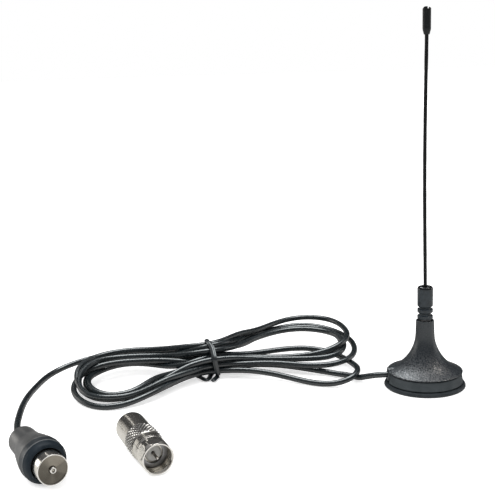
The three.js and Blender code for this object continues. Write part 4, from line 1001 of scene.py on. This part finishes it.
THREAD_START, THREAD_PITCH, THREAD_DEPTH, THREAD_RADIUS = 5.1, 0.8, 0.26, 4.62
nut_outline = [(4.48, 0.03), (4.55, 0.0), (4.84, 0.0), (4.93, 0.07), (4.98, 0.2), (4.99, 0.34)]
for z in np.linspace(0.4, 1.8, 12):
    nut_outline.append((HEX_RADIUS - HEX_RISE + HEX_RISE * math.sin(quarter(z, 0.4, 1.3)), z))
nut_outline += [(HEX_RADIUS, z) for z in np.linspace(1.95, 3.3, 5)]
for z in np.linspace(3.4, 4.2, 10):
    nut_outline.append((HEX_RADIUS - HEX_RISE * (1 - math.cos(quarter(z, 3.4, 0.8))), z))
nut_outline += rounded([
    (4.96, 4.3, 0), (4.88, 4.42, 0.08), (4.88, 6.2, 0.1), (5.02, 6.32, 0.06), (5.06, 6.72, 0.08),
    (4.98, 6.9, 0.05), (3.75, 6.9, 0.05), (3.75, 5.6, 0.05), (4.62, 5.4, 0),
])
for z in np.arange(THREAD_START, 0.75, -0.17):
    phase = ((THREAD_START - z) / THREAD_PITCH) % 1.0
    depth = THREAD_DEPTH * max(0.0, 1 - abs(phase * 2 - 1) * 1.25)
    nut_outline.append((THREAD_RADIUS - depth, z))
nut_outline += [(THREAD_RADIUS, 0.72), (THREAD_RADIUS, 0.5), (4.5, 0.3), (4.44, 0.12)]
nut = piece(
    "adapter_nut_skin", turned(nut_outline, 360, shape=hexed), [NICKEL, NICKEL_PIN], 28, ADAPTER,
    pick=lambda z: int(z < 0.06),
)
show(nut, "nut", "adapter_nut")

insulator_outline = rounded([
    (0.62, 5.3, 0.05), (0.8, 5.16, 0.05), (2.3, 5.08, 0.1), (2.48, 5.22, 0.08), (2.5, 9.0),
    (0.75, 9.0), (0.75, 5.6),
], size=0.05)
insulator = piece(
    "adapter_front_insulator_skin", turned(insulator_outline, 72), [DIELECTRIC], 50, ADAPTER
)
show(insulator, "adapter", "adapter_front_insulator")

adapter_pin_outline = rounded([
    (0, 0.55), (0.26, 0.57, 0.1), (0.45, 0.95, 0.12), (0.45, 16.2, 0.05), (0, 16.2),
])
# The shank takes the darker nickel as painted shade; the tip takes the pin nickel.
adapter_pin = piece(
    "adapter_pin_skin", turned(adapter_pin_outline, 40), [SHADED_PIN_SHANK, NICKEL_PIN], 60, ADAPTER,
    pick=lambda z: int(z < 1.05),
)
show(adapter_pin, "adapter", "adapter_pin")

clip_outline = rounded([(3.0, 4.55), (4.3, 4.55), (4.3, 5.05), (3.0, 5.05)], size=0.1)
clip = piece("adapter_nut_clip_skin", turned(clip_outline, 96), [STEEL], 50, ADAPTER)
show(clip, "adapter", "adapter_nut_clip")

SLOT_FLOOR = 1.36


def slotted(angle, radius, z):
    """Two slots in the spring contact."""
    in_slot = 19.5 <= z <= 26.7 and abs(math.sin(angle)) < 0.12
    return (min(radius, SLOT_FLOOR) if in_slot else radius), z


contact_outline = rounded([
    (0, 16.6), (1.6, 16.6), (1.6, 26.2, 0.15), (1.35, 26.6, 0.1), (1.12, 26.3, 0.1), (1.12, 18.0),
    (0, 18.0),
])
contact_solid = turned(contact_outline, 72, shape=slotted)
contact = piece("adapter_contact_skin", contact_solid, [BRASS], matrix=ADAPTER)
show(contact, "adapter", "adapter_socket_contact")

# ---------------------------------------------------------------- inner CAD pieces
# These keep their shape and only get a material.

for node, material in {
    "ring_magnet": FERRITE, "magnet_plate": STEEL, "threaded_insert": BRASS, "feed_wire": COPPER,
    "braid_tail": COPPER, "lead_clamp_ring": STEEL, "lead_core_base": CORE, "lead_core_plug": CORE,
    "lock_washer": STEEL, "whip_stud": STEEL, "plug_insulator": DIELECTRIC, "plug_crimp": BRASS,
    "adapter_rear_insulator": DIELECTRIC,
}.items():
    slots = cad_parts[node].data.materials
    slots.clear()
    slots.append(material)

# ---------------------------------------------------------------- floor, world and lights (metres)


def floor_paper():
    """White to the camera, dimmer in reflections and as a source of bounced light."""
    net = Material("floor_paper")
    paper = net.ramp(net.noise(size=30, rough=0.5), (0.3, 0.94), (0.7, 0.955))
    ray = net.node("LightPath").outputs
    glow = net.times(ray["Is Camera Ray"], 0.5)
    net.set(Emission_Color=(1.0, 1.0, 1.0), Emission_Strength=glow)
    around = net.mix(ray["Is Glossy Ray"], (0.42, 0.42, 0.41), (0.74, 0.735, 0.72))
    colour = net.mix(ray["Is Camera Ray"], around, paper)
    net.set(Base_Color=colour, Roughness=0.95, Specular_IOR_Level=0.0)
    return net.material


floor_mesh = bpy.data.meshes.new("floor")
floor_mesh.from_pydata([(-6, -6, 0), (6, -6, 0), (6, 6, 0), (-6, 6, 0)], [], [(0, 1, 2, 3)])
floor = bpy.data.objects.new("floor", floor_mesh)
floor.location = (0, 0, -0.00002)
scene.collection.objects.link(floor)
floor_mesh.materials.append(floor_paper())

# Grey of the room seen in reflections, by the upward part of the direction.
ROOM_GREYS = (
    (0.0, 0.05), (0.06, 0.045), (0.2, 0.05), (0.42, 0.07), (0.6, 0.16), (0.85, 0.3), (1.0, 0.34),
)


def studio_world():
    """White to the camera and as fill; what the pieces mirror is a dimmer room."""
    world = bpy.data.worlds.new("studio")
    scene.world = world
    world.use_nodes = True
    world.node_tree.nodes.clear()
    net = Nodes(world.node_tree)
    ray = net.node("LightPath").outputs
    upward = net.node("SeparateXYZ", net.node("TexCoord").outputs["Generated"]).outputs[2]
    room = net.ramp(upward, *((stop, (grey, grey, grey * 1.03)) for stop, grey in ROOM_GREYS))
    seen, fill, mirrored = (
        net.node("Background", Color=colour, Strength=strength).outputs[0]
        for colour, strength in (((1, 1, 1), 1.0), ((1, 1, 1), 0.9), (room, 1.0))
    )
    light = net.node("MixShader", ray["Is Glossy Ray"], fill, mirrored).outputs[0]
    whole = net.node("MixShader", ray["Is Camera Ray"], light, seen).outputs[0]
    net.node("OutputWorld", whole)


studio_world()


def add_light(light, direction):
    """Link a light that shines along the direction."""
    made = bpy.data.objects.new(light.name, light)
    made.rotation_mode = "QUATERNION"
    made.rotation_quaternion = direction.to_track_quat("-Z", "Y")
    scene.collection.objects.link(made)
    return made


sun = bpy.data.lights.new("soft_sun", "SUN")
sun.energy, sun.angle = 1.25, math.radians(50)
add_light(sun, Vector((0.25, 0.45, -0.85))).visible_glossy = False


def receivers(name, *objects):
    """A collection of the objects that a linked light reaches."""
    group = bpy.data.collections.new(name)
    for member in objects:
        group.objects.link(member)
    return group


def panel(
    name, direction, distance, size, radiance, colour=(1, 1, 1), target=(-0.06, 0, 0.01), only=None
):
    """A rectangle of light seen only in reflections, in this direction from the target."""
    light = bpy.data.lights.new(name, "AREA")
    light.shape, light.size, light.size_y = "RECTANGLE", size[0], size[1]
    light.energy, light.color = radiance * math.pi * size[0] * size[1], colour
    target = Vector(target)
    location = target + Vector(direction).normalized() * distance
    made = add_light(light, target - location)
    made.location = location
    made.visible_diffuse = False
    made.visible_camera = False
    if only:
        made.light_linking.receiver_collection = only


shell_only = receivers("shell_only", shell, ferrule)
lead_only = receivers("lead_only", lead, tie)
adapter_only = receivers("adapter_only", body, nut, insulator, adapter_pin, clip, contact)
all_but_adapter = receivers(
    "all_but_adapter",
    shell, band, foot, ferrule, rod, tip, lead, tie, overmould, sleeve, face, pin,
)
BASE_CENTRE = (0, 0, 0.01)
panel("lead_strip", direction=(0.05, 0.2, 0.98), distance=1.3, size=(1.3, 0.65), radiance=7.0,
      colour=(0.93, 1.0, 1.0), only=lead_only)
panel("ceiling", direction=(0.0, 0.22, 0.98), distance=1.3, size=(1.0, 0.7), radiance=2.6)
panel("spot_left", direction=(-0.22, 0.57, 0.79), distance=1.0, size=(0.22, 0.18), radiance=27.0,
      colour=(0.93, 0.98, 1.0), target=BASE_CENTRE, only=shell_only)
panel("spot_right", direction=(0.54, 0.03, 0.85), distance=1.0, size=(0.13, 0.13), radiance=40.0,
      colour=(1.0, 0.94, 0.87), target=BASE_CENTRE, only=shell_only)
LEFT_WALL = {"direction": (-0.92, 0.38, 0.10), "distance": 1.2, "size": (0.7, 0.5)}
panel("left_wall", **LEFT_WALL, radiance=2.5, colour=(1.0, 0.97, 0.92), only=all_but_adapter)
panel("left_wall_dim", **LEFT_WALL, radiance=0.8, colour=(1.0, 0.98, 0.95), only=adapter_only)
panel("back_strip", direction=(-0.42, 0.80, 0.42), distance=1.4, size=(0.035, 0.6), radiance=2.5,
      colour=(1.0, 0.98, 0.94), target=(-0.11, -0.07, 0.01))
panel("right_wall", direction=(0.95, 0.25, 0.2), distance=1.3, size=(0.4, 0.5), radiance=1.8)

# ---------------------------------------------------------------- camera (metres, radians)

CAMERA_PLACE = (-0.0531346, -0.3439827, 0.1225692)
PITCH, YAW, ROLL = 0.19918, -0.03361, -0.03158  # down from level, from +Y towards +X, about the view
forward = Vector((
    math.sin(YAW) * math.cos(PITCH), math.cos(YAW) * math.cos(PITCH), -math.sin(PITCH)
))
level_right = Vector((math.cos(YAW), -math.sin(YAW), 0))
level_up = level_right.cross(forward)
right = level_right * math.cos(ROLL) + level_up * math.sin(ROLL)
above = -level_right * math.sin(ROLL) + level_up * math.cos(ROLL)
lens = bpy.data.cameras.new("camera")
lens.lens, lens.sensor_width, lens.sensor_fit = 69.18, 36.0, "AUTO"
lens.clip_start, lens.clip_end = 0.01, 50
camera = bpy.data.objects.new("camera", lens)
turn = Matrix((right, above, -forward)).transposed().to_4x4()
camera.matrix_world = Matrix.Translation(CAMERA_PLACE) @ turn
scene.collection.objects.link(camera)
scene.camera = camera

bpy.context.view_layer.update()
